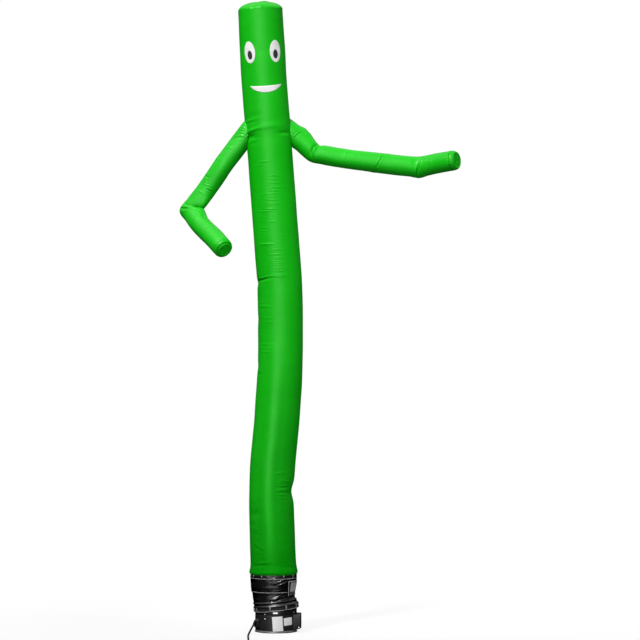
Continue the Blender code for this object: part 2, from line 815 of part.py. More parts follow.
def make_side_box():
    """A box on the drum's +X side; its inner wall follows the drum and its underside climbs outwards."""
    mesh = bmesh.new()
    half = BOX_HALF_DEPTH
    inner = DRUM_RADIUS + RIM_OUT + 2 * GAP
    steps = 10
    limit = math.degrees(math.asin(half / inner))
    outline = [around(90 - limit + 2 * limit * k / steps) * inner for k in range(steps + 1)]
    cut = BOX_CORNER * 0.3
    for x, y in ((BOX_CORNER, 0), (cut, cut), (0, BOX_CORNER)):
        outline.append(Vector((BOX_OUT - x, half - y, 0)))
    for x, y in ((0, BOX_CORNER), (cut, cut), (BOX_CORNER, 0)):
        outline.append(Vector((BOX_OUT - x, y - half, 0)))

    def underside(point):
        share = (point.x - BOX_FOOT_FROM) / (BOX_OUT - BOX_FOOT_FROM)
        return BOX_FOOT_IN + (BOX_FOOT_OUT - BOX_FOOT_IN) * max(0.0, share)

    low = [mesh.verts.new((p.x, p.y, underside(p))) for p in outline]
    high = [mesh.verts.new((p.x, p.y, BOX_TOP)) for p in outline]
    bridge(mesh, low, high)
    bmesh.ops.triangle_fill(mesh, use_beauty=True, edges=[mesh.edges.get((low[i], low[i - 1]))
                                                          for i in range(len(low))])
    bmesh.ops.triangle_fill(mesh, use_beauty=True, edges=[mesh.edges.get((high[i], high[i - 1]))
                                                          for i in range(len(high))])
    finish("side_box", mesh, black_plastic(), smooth=False)


def peg(name, centre, along, radii, length, look, sides=12):
    """A round or tapered peg from a centre, along a direction."""
    along = Vector(along).normalized()
    helper = Vector((0, 0, 1)) if abs(along.z) < 0.9 else Vector((1, 0, 0))
    u = along.cross(helper).normalized()
    v = along.cross(u)
    mesh = bmesh.new()
    rings = []
    for radius, at in ((radii[0], 0.0), (radii[1], length)):
        ring = []
        for angle in angles_round(sides):
            turn = math.radians(angle)
            ring.append(mesh.verts.new(Vector(centre) + along * at
                                       + (u * math.cos(turn) + v * math.sin(turn)) * radius))
        rings.append(ring)
    bridge(mesh, rings[0], rings[1])
    for ring in rings:
        mesh.faces.new(ring)
    return finish(name, mesh, look)


def make_blower_fittings():
    for number, (angle, height) in enumerate(RIVETS, 1):
        peg("rivet_%d" % number, drum_point(height, angle, SEAM_GAP), around(angle),
            (RIVET_RADIUS, RIVET_RADIUS * 0.7), RIVET_HEIGHT, bright_metal())
    place = (SCREW_PLACE[0], -BOX_HALF_DEPTH - GAP, SCREW_PLACE[1])
    peg("box_screw", place, (0, -1, 0), (0.005, 0.004), 0.002, bright_metal())
    over_rim = SEAM_GAP + RIM_OUT
    for name, box, low in (("plate_large", PLATE_LARGE, over_rim), ("plate_small", PLATE_SMALL, SEAM_GAP)):
        curved_patch(name, drum_point, box, low, low + PLATE_THICK, plate_plastic(), 8, tilt=PLATE_TILT)
    curved_patch("clip", drum_point, CLIP, SEAM_GAP, SEAM_GAP + CLIP_THICK, bright_metal(), 5)


def make_gland():
    """A wedge-topped block on the drum that takes the cord, and the tapered strain relief in its face."""
    foot, top_in, top_out = GLAND_HEIGHTS
    half = math.degrees(GLAND_HALF_WIDTH / DRUM_RADIUS)
    turns = [GLAND_ANGLE - half + 2 * half * k / 4 for k in range(5)]
    mesh = bmesh.new()
    inner = DRUM_RADIUS + 2 * SEAM_GAP
    outer = DRUM_RADIUS + GLAND_REACH
    grid = []
    for radius, top in ((inner, top_in), (outer, top_out)):
        low = [mesh.verts.new(Vector((0, 0, foot)) + around(t) * radius) for t in turns]
        high = [mesh.verts.new(Vector((0, 0, top)) + around(t) * radius) for t in turns]
        grid.append((low, high))
    (in_low, in_high), (out_low, out_high) = grid
    for k in range(4):
        for a, b in ((in_low, in_high), (out_low, out_high), (in_low, out_low), (in_high, out_high)):
            mesh.faces.new((a[k], a[k + 1], b[k + 1], b[k]))
    for k in (0, 4):
        mesh.faces.new((in_low[k], in_high[k], out_high[k], out_low[k]))
    gland = finish("cord_gland", mesh, black_plastic(), smooth=False)
    aim, base = relief_line()
    rear, front = RELIEF_RADII
    socket = peg("relief_socket", base - aim * GAP, aim, (rear + GAP, front + GAP), RELIEF_LENGTH, black_rubber())
    socket.hide_render = True
    socket.display_type = "WIRE"
    cut = gland.modifiers.new("relief_socket", "BOOLEAN")
    cut.operation = "DIFFERENCE"
    cut.solver = "EXACT"
    cut.object = socket


def relief_line():
    """Direction of the strain relief, and the middle of its wide end, which sits in the gland."""
    aim = Vector(RELIEF_AIM).normalized()
    return aim, Vector(CORD_ROUTE[0]) - aim * (RELIEF_LENGTH + 2 * GAP)


# Cord

def smooth_route(points, pitch):
    """Points a pitch apart on a smooth curve through the route's own points."""
    points = [Vector(p) for p in points]
    ends = [points[0] * 2 - points[1]] + points + [points[-1] * 2 - points[-2]]
    fine = []
    for k in range(1, len(ends) - 2):
        p0, p1, p2, p3 = ends[k - 1:k + 3]
        for step in range(16):
            t = step / 16
            fine.append(0.5 * ((2 * p1) + (p2 - p0) * t + (2 * p0 - 5 * p1 + 4 * p2 - p3) * t * t
                               + (3 * p1 - p0 - 3 * p2 + p3) * t ** 3))
    fine.append(points[-1])
    total = sum((b - a).length for a, b in zip(fine, fine[1:]))
    count = max(2, round(total / pitch))
    kept = [fine[0]]
    walked = 0.0
    for a, b in zip(fine, fine[1:]):
        walked += (b - a).length
        if walked >= total * len(kept) / count and len(kept) < count:
            kept.append(b)
    kept.append(fine[-1])
    return kept


def cord_tube(name, points):
    data = bpy.data.curves.new(name, "CURVE")
    data.dimensions = "3D"
    data.bevel_depth = CORD_DIAMETER / 2
    data.bevel_resolution = 2
    data.use_fill_caps = True
    spline = data.splines.new("POLY")
    spline.points.add(len(points) - 1)
    for spot, point in zip(spline.points, points):
        spot.co = (*point, 1.0)
    data.materials.append(black_rubber())
    thing = bpy.data.objects.new(name, data)
    bpy.context.scene.collection.objects.link(thing)


def make_cord():
    aim, base = relief_line()
    peg("strain_relief", base, aim, RELIEF_RADII, RELIEF_LENGTH, black_rubber())
    pitch = CORD_DIAMETER * 2.2
    cord_tube("cord_run", smooth_route(CORD_ROUTE, pitch))
    cord_tube("cord_tail", smooth_route(TAIL_ROUTE, pitch / 2))
    inner, outer = COIL_RADII
    low, high = COIL_HEIGHTS
    edge = 0.005
    turned("cord_coil", [(inner, low + edge), (inner + edge, low), (outer - edge, low), (outer, low + edge),
                         (outer, high - edge), (outer - edge, high), (inner + edge, high),
                         (inner, high - edge)], black_rubber(), 32, COIL_CENTRE)


def make_tie():
    """A strap wrapped once round the coil's turns."""
    inner, outer = COIL_RADII
    low, high = COIL_HEIGHTS
    out = Vector((math.cos(math.radians(TIE_ANGLE)), math.sin(math.radians(TIE_ANGLE)), 0))
    along = Vector((-out.y, out.x, 0))
    centre = Vector((*COIL_CENTRE, 0))
    sag = inner - math.sqrt(inner ** 2 - (TIE_WIDTH / 2) ** 2) + SEAM_GAP

    def ring(grow):
        near = inner - sag - grow
        far = outer + grow
        return [(near, low - grow), (far, low - grow), (far, high + grow), (near, high + grow)]

    mesh = bmesh.new()
    loops = []
    for side in (-TIE_WIDTH / 2, TIE_WIDTH / 2):
        for grow in (GAP, GAP + TIE_THICK):
            loops.append([mesh.verts.new(centre + out * r + along * side + Vector((0, 0, z)))
                          for r, z in ring(grow)])
    a_in, a_out, b_in, b_out = loops
    bridge(mesh, a_in, a_out)
    bridge(mesh, b_in, b_out)
    bridge(mesh, a_in, b_in)
    bridge(mesh, a_out, b_out)
    finish("cord_tie", mesh, black_webbing(), smooth=False)


def block(name, centre, axes, halves, look, bevel=0.0):
    mesh = bmesh.new()
    bmesh.ops.create_cube(mesh, size=1.0)
    for vert in mesh.verts:
        offset = sum((axis * (2 * half * value) for axis, half, value in zip(axes, halves, vert.co)), Vector())
        vert.co = Vector(centre) + offset
    if bevel:
        bmesh.ops.bevel(mesh, geom=list(mesh.edges), offset=bevel, segments=2, affect="EDGES", profile=0.5)
    return finish(name, mesh, look)


def make_plug():
    tip = Vector(TAIL_ROUTE[-1])
    along = (tip - Vector(TAIL_ROUTE[-2]))
    along.z = 0
    along.normalize()
    side = Vector((-along.y, along.x, 0))
    up = Vector((0, 0, 1))
    half_wide, half_tall = PLUG_HALF
    centre = tip + along * (PLUG_LENGTH / 2 + GAP * 2)
    centre.z = half_tall
    block("plug", centre, (along, side, up), (PLUG_LENGTH / 2, half_wide, half_tall), black_rubber(), 0.004)
    face = centre + along * (PLUG_LENGTH / 2 + GAP)
    for name, across in (("plug_blade_a", BLADE_APART / 2), ("plug_blade_b", -BLADE_APART / 2)):
        place = face + along * (BLADE_LENGTH / 2) + side * across + up * BLADE_LIFT
        block(name, place, (along, side, up), (BLADE_LENGTH / 2, *BLADE_HALF), bright_metal())
    peg("plug_earth_pin", face - up * PIN_DROP, along, PIN_RADII, PIN_LENGTH, bright_metal())


def main():
    empty_scene()
    body = make_body()
    make_head_cap()
    for side, rows, root in (("left", ARM_LEFT, ARM_LEFT_ROOT), ("right", ARM_RIGHT, ARM_RIGHT_ROOT)):
        first_ring = make_arm(side, rows, root)
        cut_arm_hole(body, first_ring, root, side)
    make_face()
    make_sleeve()
    make_closure()
    make_strap()
    make_belt_loops()
    make_blower()
    make_side_box()
    make_blower_fittings()
    make_gland()
    make_cord()
    make_tie()
    make_plug()


main()
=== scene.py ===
"""Looks of the inflatable air dancer: its cloth, blower, cord, floor, light and camera.

Frame: metres, +Z up, origin at the centre of the blower's flat base, the face looks along -Y.
Angles round the body are in degrees from the front (-Y), positive towards the dancer's +X side.
The shape tables are the part's own; the crease tables add what is finer than its solids.
"""
import math

import bmesh
import bpy
import numpy as np
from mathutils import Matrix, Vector


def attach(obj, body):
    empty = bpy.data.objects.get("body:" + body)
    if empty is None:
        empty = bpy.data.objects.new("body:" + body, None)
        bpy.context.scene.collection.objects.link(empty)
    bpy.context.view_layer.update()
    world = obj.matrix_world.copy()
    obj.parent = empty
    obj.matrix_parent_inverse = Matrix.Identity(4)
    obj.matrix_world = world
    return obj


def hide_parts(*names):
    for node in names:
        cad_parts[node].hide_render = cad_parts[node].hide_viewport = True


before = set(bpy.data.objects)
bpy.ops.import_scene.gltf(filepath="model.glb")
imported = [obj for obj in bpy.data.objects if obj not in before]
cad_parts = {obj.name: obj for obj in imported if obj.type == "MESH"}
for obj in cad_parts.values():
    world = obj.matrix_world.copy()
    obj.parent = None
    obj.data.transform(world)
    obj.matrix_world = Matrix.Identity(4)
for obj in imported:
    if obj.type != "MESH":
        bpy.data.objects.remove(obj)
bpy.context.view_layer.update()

UV_LAYER = "cloth"        # holds each piece's own metres, for its weave

# Driving dimensions, in metres
CLOTH = 0.002             # nylon and vinyl, with their seam allowances
TUBE_RADIUS = 0.2265
BODY_TOP = 6.207
CAP_RISE = 0.087
HAND_RISE = 0.014
DRUM_RADIUS = 0.2085
BASE_HEIGHT = 0.016
RIM_OUT = 0.0015
DRUM_TOP = 0.175
COLLAR_TOP = 0.275
CORD_DIAMETER = 0.018
HAIR_GAP = 0.0006         # keeps a piece just off the one that it touches
SEAM_GAP = 0.0003         # between two mouldings that stand on each other
LEAN_STEP = 0.02          # the tube's lean at a height is taken over this much on each side

# Height, sideways place of the axis, and radius of the green tube
BODY_STATIONS = [
    # height, x, radius
    (0.577, -0.025, 0.2325),
    (0.586, -0.025, 0.239),
    (0.6, -0.025, 0.242),
    (0.63, -0.0255, 0.236),
    (0.68, -0.027, 0.229),
    (0.908, -0.035, 0.2265),
    (1.15, -0.042, 0.2255),
    (1.308, -0.045, 0.225),
    (1.508, -0.04, 0.225),
    (1.708, -0.03, 0.226),
    (1.908, -0.01, 0.2265),
    (2.108, 0.008, 0.2265),
    (2.308, 0.022, 0.2265),
    (2.508, 0.035, 0.2265),
    (2.708, 0.043, 0.225),
    (2.958, 0.045, 0.225),
    (3.308, 0.042, 0.226),
    (3.508, 0.035, 0.225),
    (3.908, 0.005, 0.225),
    (4.308, -0.025, 0.225),
    (4.708, -0.055, 0.225),
    (5.008, -0.078, 0.2265),
    (5.208, -0.095, 0.2265),
    (5.508, -0.119, 0.227),
    (5.808, -0.135, 0.2265),
    (6.207, -0.157, 0.2225),
]

# Creases: a ridge (depth above 0) or a trough (below 0) that fades out at its ends
BODY_FOLDS = [
    # height, angle, half angle, depth, half height, climb per degree
    (5.045, 10, 105, 0.006, 0.03, 0.0003),
    (4.985, -18, 85, -0.013, 0.026, 0.00035),
    (5.15, -45, 50, -0.005, 0.03, 0.0003),
    (3.5, -80, 70, -0.01, 0.04, 0.0006),
    (1.41, 95, 75, -0.027, 0.085, 0.0),
    (0.96, -35, 45, -0.007, 0.12, 0.0015),
    (3.12, -95, 40, -0.005, 0.06, 0.0),
    (2.64, -95, 40, -0.006, 0.05, 0.0),
]
BODY_CREASES = [
    # height, angle, half angle, depth, half height, climb per degree, bow per degree squared
    (5.045, 10, 105, -0.004, 0.03, 0.0003),
    (4.985, -18, 85, 0.0122, 0.026, 0.00035),
    (5.034, 6, 90, 0.0034, 0.03, 0.0, -0.0000066),
    (4.93, -14, 86, -0.0028, 0.045, 0.0, -0.0000066),
    (4.949, -57, 33, -0.0175, 0.021, 0.0002),
    (4.964, 48, 36, -0.0085, 0.019, 0.0001),
    (5.008, -48, 40, 0.012, 0.0155, 0.00078),
    (5.112, -50, 44, 0.0035, 0.011, 0.00045),
    (5.088, -46, 38, -0.003, 0.01, 0.00045),
    (4.922, -48, 34, -0.0035, 0.008, 0.0006),
    (4.905, -50, 34, 0.003, 0.008, 0.0006),
    (4.878, -45, 28, -0.0025, 0.007, 0.0006),
    (4.691, -17, 26, 0.0025, 0.0065, -0.0001),
    (4.66, -30, 22, 0.0015, 0.0065, -0.0003),
    (4.219, -9, 24, 0.0042, 0.006, -0.00024),
    (4.198, -22, 32, 0.0034, 0.006, -0.00024),
    (4.09, -5, 18, 0.0028, 0.006, -0.0002),
    (3.877, -30, 40, 0.0042, 0.007, -0.0002),
    (3.866, -28, 38, 0.0028, 0.015, -0.0002),
    (3.545, -44, 46, 0.006, 0.0085, 0.00042),
    (3.524, -50, 44, -0.0085, 0.011, 0.00042),
    (3.556, 0, 34, 0.0034, 0.006, 0.0001),
    (3.543, 6, 30, 0.0028, 0.0055, -0.00005),
    (3.498, -48, 36, 0.0026, 0.009, 0.0002),
    (3.25, -46, 34, 0.0044, 0.007, -0.0001),
    (3.229, -50, 30, -0.0026, 0.007, 0.0),
    (3.292, -54, 22, 0.0022, 0.006, -0.0001),
    (3.137, -42, 32, 0.003, 0.0065, -0.0002),
    (3.093, -34, 26, 0.0024, 0.0065, 0.0),
    (2.958, -56, 26, 0.0022, 0.0065, 0.0),
    (2.87, -46, 32, 0.0034, 0.0065, 0.00002),
    (2.832, -44, 30, 0.003, 0.006, -0.00018),
    (2.795, -42, 34, 0.003, 0.006, -0.0001),
    (2.597, -64, 22, 0.003, 0.007, 0.0),
    (2.56, -60, 18, -0.0022, 0.008, 0.0),
    (1.596, 20, 20, 0.0026, 0.0065, 0.0003),
    (1.566, 26, 22, -0.002, 0.007, 0.0002),
    (1.5, 24, 26, 0.0028, 0.006, 0.0001),
    (1.516, 38, 26, 0.003, 0.0065, -0.00015),
    (1.47, 30, 30, 0.003, 0.0056, 0.0001),
    (1.452, 34, 34, -0.0027, 0.009, 0.0002),
    (1.424, 36, 38, 0.0044, 0.0066, 0.00025),
    (1.4, 36, 34, -0.0025, 0.0075, 0.0),
    (1.377, 30, 30, 0.0034, 0.006, -0.0001),
    (1.338, 34, 24, 0.0022, 0.0065, -0.0002),
    (1.3, 40, 22, 0.002, 0.0065, -0.0003),
    (1.19, -46, 36, -0.006, 0.026, 0.0004),
    (1.12, -52, 26, 0.003, 0.016, -0.0003),
    (1.046, -58, 28, 0.0034, 0.0075, -0.0005),
    (1.022, -54, 26, 0.0028, 0.007, -0.0005),
    (0.985, -46, 26, -0.0026, 0.012, -0.0006),
    (0.868, -40, 34, 0.0044, 0.0085, -0.0018),
    (0.846, -42, 32, -0.0034, 0.011, -0.0018),
    (0.905, -52, 22, 0.0026, 0.0075, -0.0015),
    (0.7, -30, 36, 0.0044, 0.01, 0.0002),
    (0.676, -34, 40, -0.005, 0.015, 0.0002),
    (0.648, 42, 34, -0.004, 0.015, -0.0003),
    (0.668, 58, 26, 0.003, 0.012, -0.0004),
    (5.79, 0, 26, -0.0016, 0.025, 0.0002),
    (5.62, -34, 40, -0.0015, 0.02, 0.0006),
    (5.33, 20, 60, 0.0012, 0.03, 0.0004),
    (4.94, 150, 60, -0.006, 0.02, 0.0001),
    (4.42, -165, 50, 0.003, 0.008, 0.0),
    (3.54, 160, 70, -0.008, 0.012, -0.0003),
    (3.562, 160, 62, 0.005, 0.009, -0.0003),
    (2.9, 170, 50, 0.003, 0.009, 0.0001),
    (1.5, 150, 40, 0.003, 0.01, 0.0),
]
# Rows of fine crosswise wrinkles: each row has its middle angle, half angle and depth
WRINKLE_ROWS = [
    # from height, to height, wrinkles, angle, half angle, depth
    (4.545, 4.395, 9, 1, 27, 0.0026),
    (4.372, 4.25, 8, -6, 31, 0.0026),
    (4.17, 4.11, 3, -30, 20, 0.0014),
    (4.062, 3.985, 5, -40, 26, 0.0022),
    (3.838, 3.77, 4, -9, 33, 0.003),
    (3.74, 3.575, 9, 2, 29, 0.0022),
    (2.99, 2.915, 4, -52, 26, 0.0018),
    (1.602, 1.315, 8, 23, 19, 0.0017),
    (3.96, 3.89, 4, 14, 20, 0.0012),
    (4.84, 4.76, 4, -35, 24, 0.0012),
    (5.75, 5.69, 3, 172, 36, 0.0018),
    (4.5, 4.3, 9, 178, 40, 0.0026),
    (4.08, 3.99, 5, 168, 34, 0.0024),
    (3.86, 3.64, 8, -170, 38, 0.0026),
    (3.31, 3.21, 5, -164, 36, 0.0024),
    (1.6, 1.43, 7, -172, 44, 0.0028),
    (1.05, 0.96, 4, 164, 40, 0.0026),
]
WRINKLE_FALL = 0.00026    # climb per degree that keeps the wrinkles level on the leaning tube
# Lengthwise rises of the tube's face, which fade out at both ends
BODY_CRESTS = [
    # angle, half angle, depth, from height, to height
    (-12, 32, 0.016, 0.64, 2.9),
    (38, 50, -0.0085, 0.64, 2.4),
    (-8, 30, 0.003, 2.9, 6.1),
]
# Spacing of the body's rings between heights, finer where the wrinkles are
RING_PITCHES = [
    # up to height, pitch
    (0.76, 0.0065),
    (1.25, 0.0095),
    (1.62, 0.006),
    (2.54, 0.016),
    (3.32, 0.008),
    (3.5, 0.008),
    (4.74, 0.0046),
    (4.86, 0.009),
    (5.14, 0.0065),
    (BODY_TOP, 0.013),
]
BODY_COLUMNS = 108
BUCKLES_FROM = 0.6
BUCKLE = 0.0011           # depth of the soft buckles all over an inflated tube

# Tuft on the head cap
TUFT_PLACE = (0.046, -0.02)
TUFT_RISE = 0.0085
TUFT_REACH = 0.035

# Arms: centre of each ring, and its half width in and across the plane of the bend. A kink is a sharp bend.
ARM_LEFT = [
    # x, y, z, in plane, across, kink
    (-0.395, 0.015, 4.839, 0.1, 0.0985, False),
    (-0.495, 0.03, 4.71, 0.0985, 0.0985, False),
    (-0.678, 0.08, 4.447, 0.097, 0.0975, False),
    (-0.86, 0.12, 4.211, 0.12, 0.1, True),
    (-0.754, -0.06, 4.067, 0.1, 0.097, False),
    (-0.6, -0.276, 3.914, 0.1, 0.0985, False),
    (-0.508, -0.415, 3.811, 0.099, 0.098, False),
]
ARM_LEFT_ROOT = (-0.295, 0.0, 4.97)
ARM_RIGHT = [
    # x, y, z, in plane, across, kink
    (0.278, 0.03, 4.891, 0.109, 0.102, False),
    (0.388, 0.02, 4.779, 0.095, 0.096, True),
    (0.64, 0.015, 4.735, 0.0965, 0.0975, False),
    (1.0, 0.01, 4.688, 0.101, 0.1, False),
    (1.24, 0.005, 4.659, 0.1025, 0.101, False),
    (1.428, 0.0, 4.64, 0.108, 0.1, True),
    (1.616, -0.1, 4.676, 0.101, 0.1, False),
    (1.787, -0.205, 4.7, 0.099, 0.0985, False),
]
ARM_RIGHT_ROOT = (0.153, 0.033, 4.985)
KINK_REACH = 0.085        # how far a kink pulls on the tube each side of it
ROOT_GAP = 0.0015
ARM_COLUMNS = 72
ARM_ROUND = 0.1           # the arms' radius as their weave takes it
HAND_SEAM = 0.036         # where the turned-in end of an arm begins, back from its rim
ARM_PITCH = 0.0034
ROOT_CALM = 0.05          # creases grow from nothing over this much from the body's face
RIM_CALM = 0.02           # and fade out over this much before the rim
RIM_DRAWN_IN = 0.007
# A hand's cap: its rings as shares of its radius, and the raised ring on each one
CAP_SHARES = [1.0, 0.985, 0.96, 0.93, 0.9, 0.87, 0.84, 0.81, 0.78, 0.75, 0.72, 0.7, 0.68, 0.66, 0.63, 0.6,
              0.55, 0.5, 0.38, 0.26, 0.13, 0.004]
CAP_RINGS = {
    # share of the radius, half width, height
    "left": (0.68, 0.06, 0.008),
    "right": (0.84, 0.08, 0.009),
}

# Arm creases: angle 0 faces the front, 90 is the arm's upper side
ARM_LEFT_CREASES = [
    # along, angle, half angle, depth, half length, slant per degree, bow per degree squared
    (0.018, 45, 56, 0.0055, 0.0042, 0.0005),
    (0.027, 45, 52, -0.0043, 0.0042, 0.0006),
    (0.036, 45, 62, 0.007, 0.0045, 0.00075),
    (0.045, 42, 54, -0.0051, 0.0045, 0.00085),
    (0.054, 42, 64, 0.007, 0.0045, 0.001),
    (0.063, 40, 54, -0.0051, 0.0048, 0.0011),
    (0.073, 38, 62, 0.0062, 0.0048, 0.0012),
    (0.083, 36, 52, -0.0043, 0.0052, 0.0013),
    (0.094, 32, 56, 0.0051, 0.0056, 0.00145),
    (0.108, 28, 46, -0.0027, 0.0065, 0.0015),
    (0.03, -30, 34, 0.0035, 0.006, -0.0009),
    (0.052, -34, 34, -0.003, 0.007, -0.0011),
    (0.215, 40, 50, 0.0022, 0.012, 0.0008),
    (0.37, 60, 40, 0.002, 0.012, 0.0006),
    (0.56, 60, 34, 0.003, 0.0065, 0.0006),
    (0.58, 52, 34, -0.0024, 0.006, 0.0005),
    (0.598, 44, 40, 0.0034, 0.006, 0.0005),
    (0.618, 30, 40, 0.0028, 0.006, 0.0004),
    (0.636, 6, 36, 0.0032, 0.006, 0.0004),
    (0.654, -16, 34, 0.003, 0.006, 0.0003),
    (0.672, -20, 30, -0.0024, 0.007, 0.0003),
    (0.73, 10, 40, 0.002, 0.009, 0.0002),
    (0.92, 50, 44, -0.004, 0.011, -0.001),
    (0.955, 52, 44, 0.007, 0.0105, -0.001),
    (0.984, 50, 44, -0.0095, 0.011, -0.001),
    (1.026, 15, 32, 0.0065, 0.011, -0.0028),
    (1.056, 14, 34, -0.008, 0.012, -0.0028),
    (1.074, -34, 40, -0.0065, 0.013, 0.0),
    (1.012, 62, 40, 0.0045, 0.011, -0.0006),
    (1.11, 60, 44, -0.0026, 0.012, 0.0004),
    (1.22, 30, 50, 0.0026, 0.011, 0.0005),
    (1.36, -20, 44, 0.0024, 0.011, 0.0003),
    (1.48, 50, 44, -0.0022, 0.012, 0.0003),
    (1.682, 0, 360, -0.004, 0.005, 0.0),
    (1.696, 0, 360, 0.0022, 0.005, 0.0),
]
ARM_RIGHT_CREASES = [
    # along, angle, half angle, depth, half length, slant per degree, bow per degree squared
    (0.036, 8, 36, 0.0035, 0.0045, 0.0012),
    (0.047, 10, 40, -0.0035, 0.005, 0.00115),
    (0.059, 14, 46, 0.0045, 0.005, 0.00115),
    (0.07, 15, 48, -0.005, 0.0055, 0.00105),
    (0.084, 16, 54, 0.006, 0.0055, 0.00095),
    (0.099, 20, 50, -0.0035, 0.007, 0.0009),
    (0.02, -34, 40, -0.004, 0.008, -0.0004),
    (0.16, 50, 40, 0.0018, 0.012, 0.0004),
    (0.122, 92, 60, 0.011, 0.03, 0.0),
    (0.232, 90, 58, -0.012, 0.04, 0.0),
    (0.268, 86, 50, -0.006, 0.024, 0.0),
    (0.29, 10, 70, -0.006, 0.01, -0.00033, 0.0000118),
    (0.304, 10, 76, -0.01, 0.008, -0.00033, 0.0000118),
    (0.321, 10, 72, 0.006, 0.008, -0.00033, 0.0000118),
    (0.345, 60, 40, -0.0026, 0.01, 0.0003),
    (0.64, 20, 46, 0.0018, 0.012, 0.0004),
    (0.8, -10, 40, 0.0018, 0.011, -0.0003),
    (0.998, 22, 100, -0.008, 0.006, 0.00066),
    (1.012, 22, 90, 0.0038, 0.0065, 0.00066),
    (0.986, 22, 60, 0.003, 0.0065, 0.00066),
    (1.408, -4, 104, -0.015, 0.015, 0.00062),
    (1.436, 0, 80, 0.005, 0.015, 0.0006),
    (1.455, -36, 40, -0.003, 0.012, -0.0004),
    (1.56, 10, 50, 0.002, 0.012, 0.0005),
    (1.77, 0, 360, -0.004, 0.005, 0.0),
    (1.784, 0, 360, 0.0022, 0.005, 0.0),
]
# Gathered seams round an arm: lengthwise puckers on each side of it
ARM_LEFT_GATHERS = [
    # along, depth, half length, puckers round, slant per degree
    (0.0, 0.004, 0.055, 22, 0.0),
    (1.68, 0.0028, 0.018, 25, 0.0),
]
ARM_RIGHT_GATHERS = [
    # along, depth, half length, puckers round, slant per degree
    (0.0, 0.0035, 0.045, 22, 0.0),
    (0.998, 0.0026, 0.022, 27, 0.00064),
    (1.768, 0.003, 0.018, 25, 0.0),
]

# Face, as angles from the front and heights along the head's axis
EYE_ANGLE = 33.8
EYE_HEIGHT = 5.7775
EYE_SIZE = (0.125, 0.219)
EYES = [
    # side, angle, how far round its pupil looks, tilt
    ("left", -EYE_ANGLE - 0.4, 1.6, 6.0),
    ("right", EYE_ANGLE + 1.4, -0.6, -1.0),
]
PUPIL_DROP = 0.028
PUPIL_SIZE = (0.053, 0.089)
MOUTH_FROM = -38.0
MOUTH_TO = 48.0
MOUTH_CORNER = 5.4485
MOUTH_TOP_SAG = 0.0125
MOUTH_DEPTH = 0.0785
PATCH_OFF = 0.001        # the face patches' outer side off the tube
PUPIL_OFF = 0.0026
PATCH_SWELL = 0.0012      # how much a patch rises inside its turned edge
PATCH_EDGE = 0.004
PATCH_THICK = 0.001

# Black vinyl sleeve
SLEEVE_UPPER = [
    # height, x, radius
    (0.398, -0.029, 0.217),
    (0.42, -0.0285, 0.2195),
    (0.443, -0.028, 0.223),
    (0.483, -0.0255, 0.228),
    (0.516, -0.0247, 0.231),
    (0.537, -0.0245, 0.2312),
    (0.576, -0.025, 0.2305),
]
BINDING_FOOT = 0.537
BINDING_TOP = 0.5755
BINDING_OFF = 0.0018
HEM_HEIGHT = 0.2215
HEM_TILT = 0.11
HEM_RISE = 0.086
SLEEVE_LOWER = [
    # rise, x, radius
    (0.0, 0.0045, 0.2235),
    (0.006, 0.004, 0.2245),
    (0.011, 0.0025, 0.218),
    (0.033, 0.001, 0.2165),
    (0.039, 0.0005, 0.2225),
    (0.057, -0.003, 0.221),
    (0.066, -0.006, 0.2145),
    (0.078, -0.0095, 0.214),
    (0.086, -0.012, 0.219),
    (0.095, -0.0147, 0.2095),
    (0.11, -0.0185, 0.2086),
    (0.125, -0.022, 0.2085),
    (0.16, -0.0255, 0.21),
    (0.189, -0.0275, 0.2125),
]
UPPER_CREASES = [
    # height, angle, half angle, depth, half height, climb per degree
    (0.55, -11, 11, 0.005, 0.006, -0.0026),
    (0.546, 2, 11, 0.0036, 0.0064, 0.002),
    (0.56, -3, 10, -0.004, 0.007, 0.0),
    (0.521, 21, 22, 0.0085, 0.007, 0.0016),
    (0.504, 22, 24, -0.0075, 0.0085, 0.0015),
    (0.492, 26, 18, 0.0045, 0.007, 0.0011),
    (0.47, 8, 22, -0.0035, 0.012, -0.0006),
    (0.448, -30, 40, 0.003, 0.014, 0.0002),
    (0.425, 16, 26, 0.0035, 0.007, 0.0006),
    (0.409, 4, 40, -0.004, 0.006, 0.0003),
    (0.5, -60, 40, -0.003, 0.02, 0.0004),
    (0.52, 120, 40, 0.006, 0.012, 0.0006),
    (0.47, 170, 60, -0.005, 0.015, -0.0003),
    (0.51, -140, 50, 0.005, 0.012, 0.0005),
    (0.44, -110, 30, 0.004, 0.01, -0.0006),
]
LOWER_CREASES = [
    # rise, angle, half angle, depth, half height, climb per degree
    (0.043, 0, 360, 0.0021, 0.0048, 0.0),
    (0.061, 0, 360, -0.0034, 0.006, 0.0),
    (0.0765, 0, 300, 0.0025, 0.0054, 0.0),
    (0.172, -20, 70, 0.0014, 0.006, 0.0001),
    (0.15, -35, 40, -0.002, 0.012, 0.0002),
    (0.1215, 5, 20, 0.015, 0.0165, 0.0012),
    (0.1, 8, 18, -0.004, 0.007, 0.001),
    (0.143, 6, 20, -0.003, 0.008, 0.0012),
    (0.135, 27, 12, 0.0045, 0.006, 0.0006),
    (0.101, 26, 26, 0.0035, 0.0055, 0.0005),
    (0.104, 62, 26, 0.0045, 0.0065, 0.0002),
    (0.078, 40, 36, -0.003, 0.005, 0.0001),
    (0.12, -60, 30, 0.003, 0.008, -0.0003),
    (0.14, 120, 24, 0.006, 0.009, 0.0006),
    (0.13, 180, 50, -0.005, 0.01, 0.0003),
    (0.15, -120, 40, 0.006, 0.009, -0.0005),
]
# Pale tacks: partly stitching, partly a painted highlight for the glints along the binding
GLINT_TACK_ANGLES = [-74, -57, -29, 27, 58, 96, 134, 171, 208, 247]
GLINT_TACK_HEIGHTS = (0.559, 0.5735)
STITCH_HALF = 0.0017
STITCH_RISE = 0.0011
SLEEVE_COLUMNS = 216
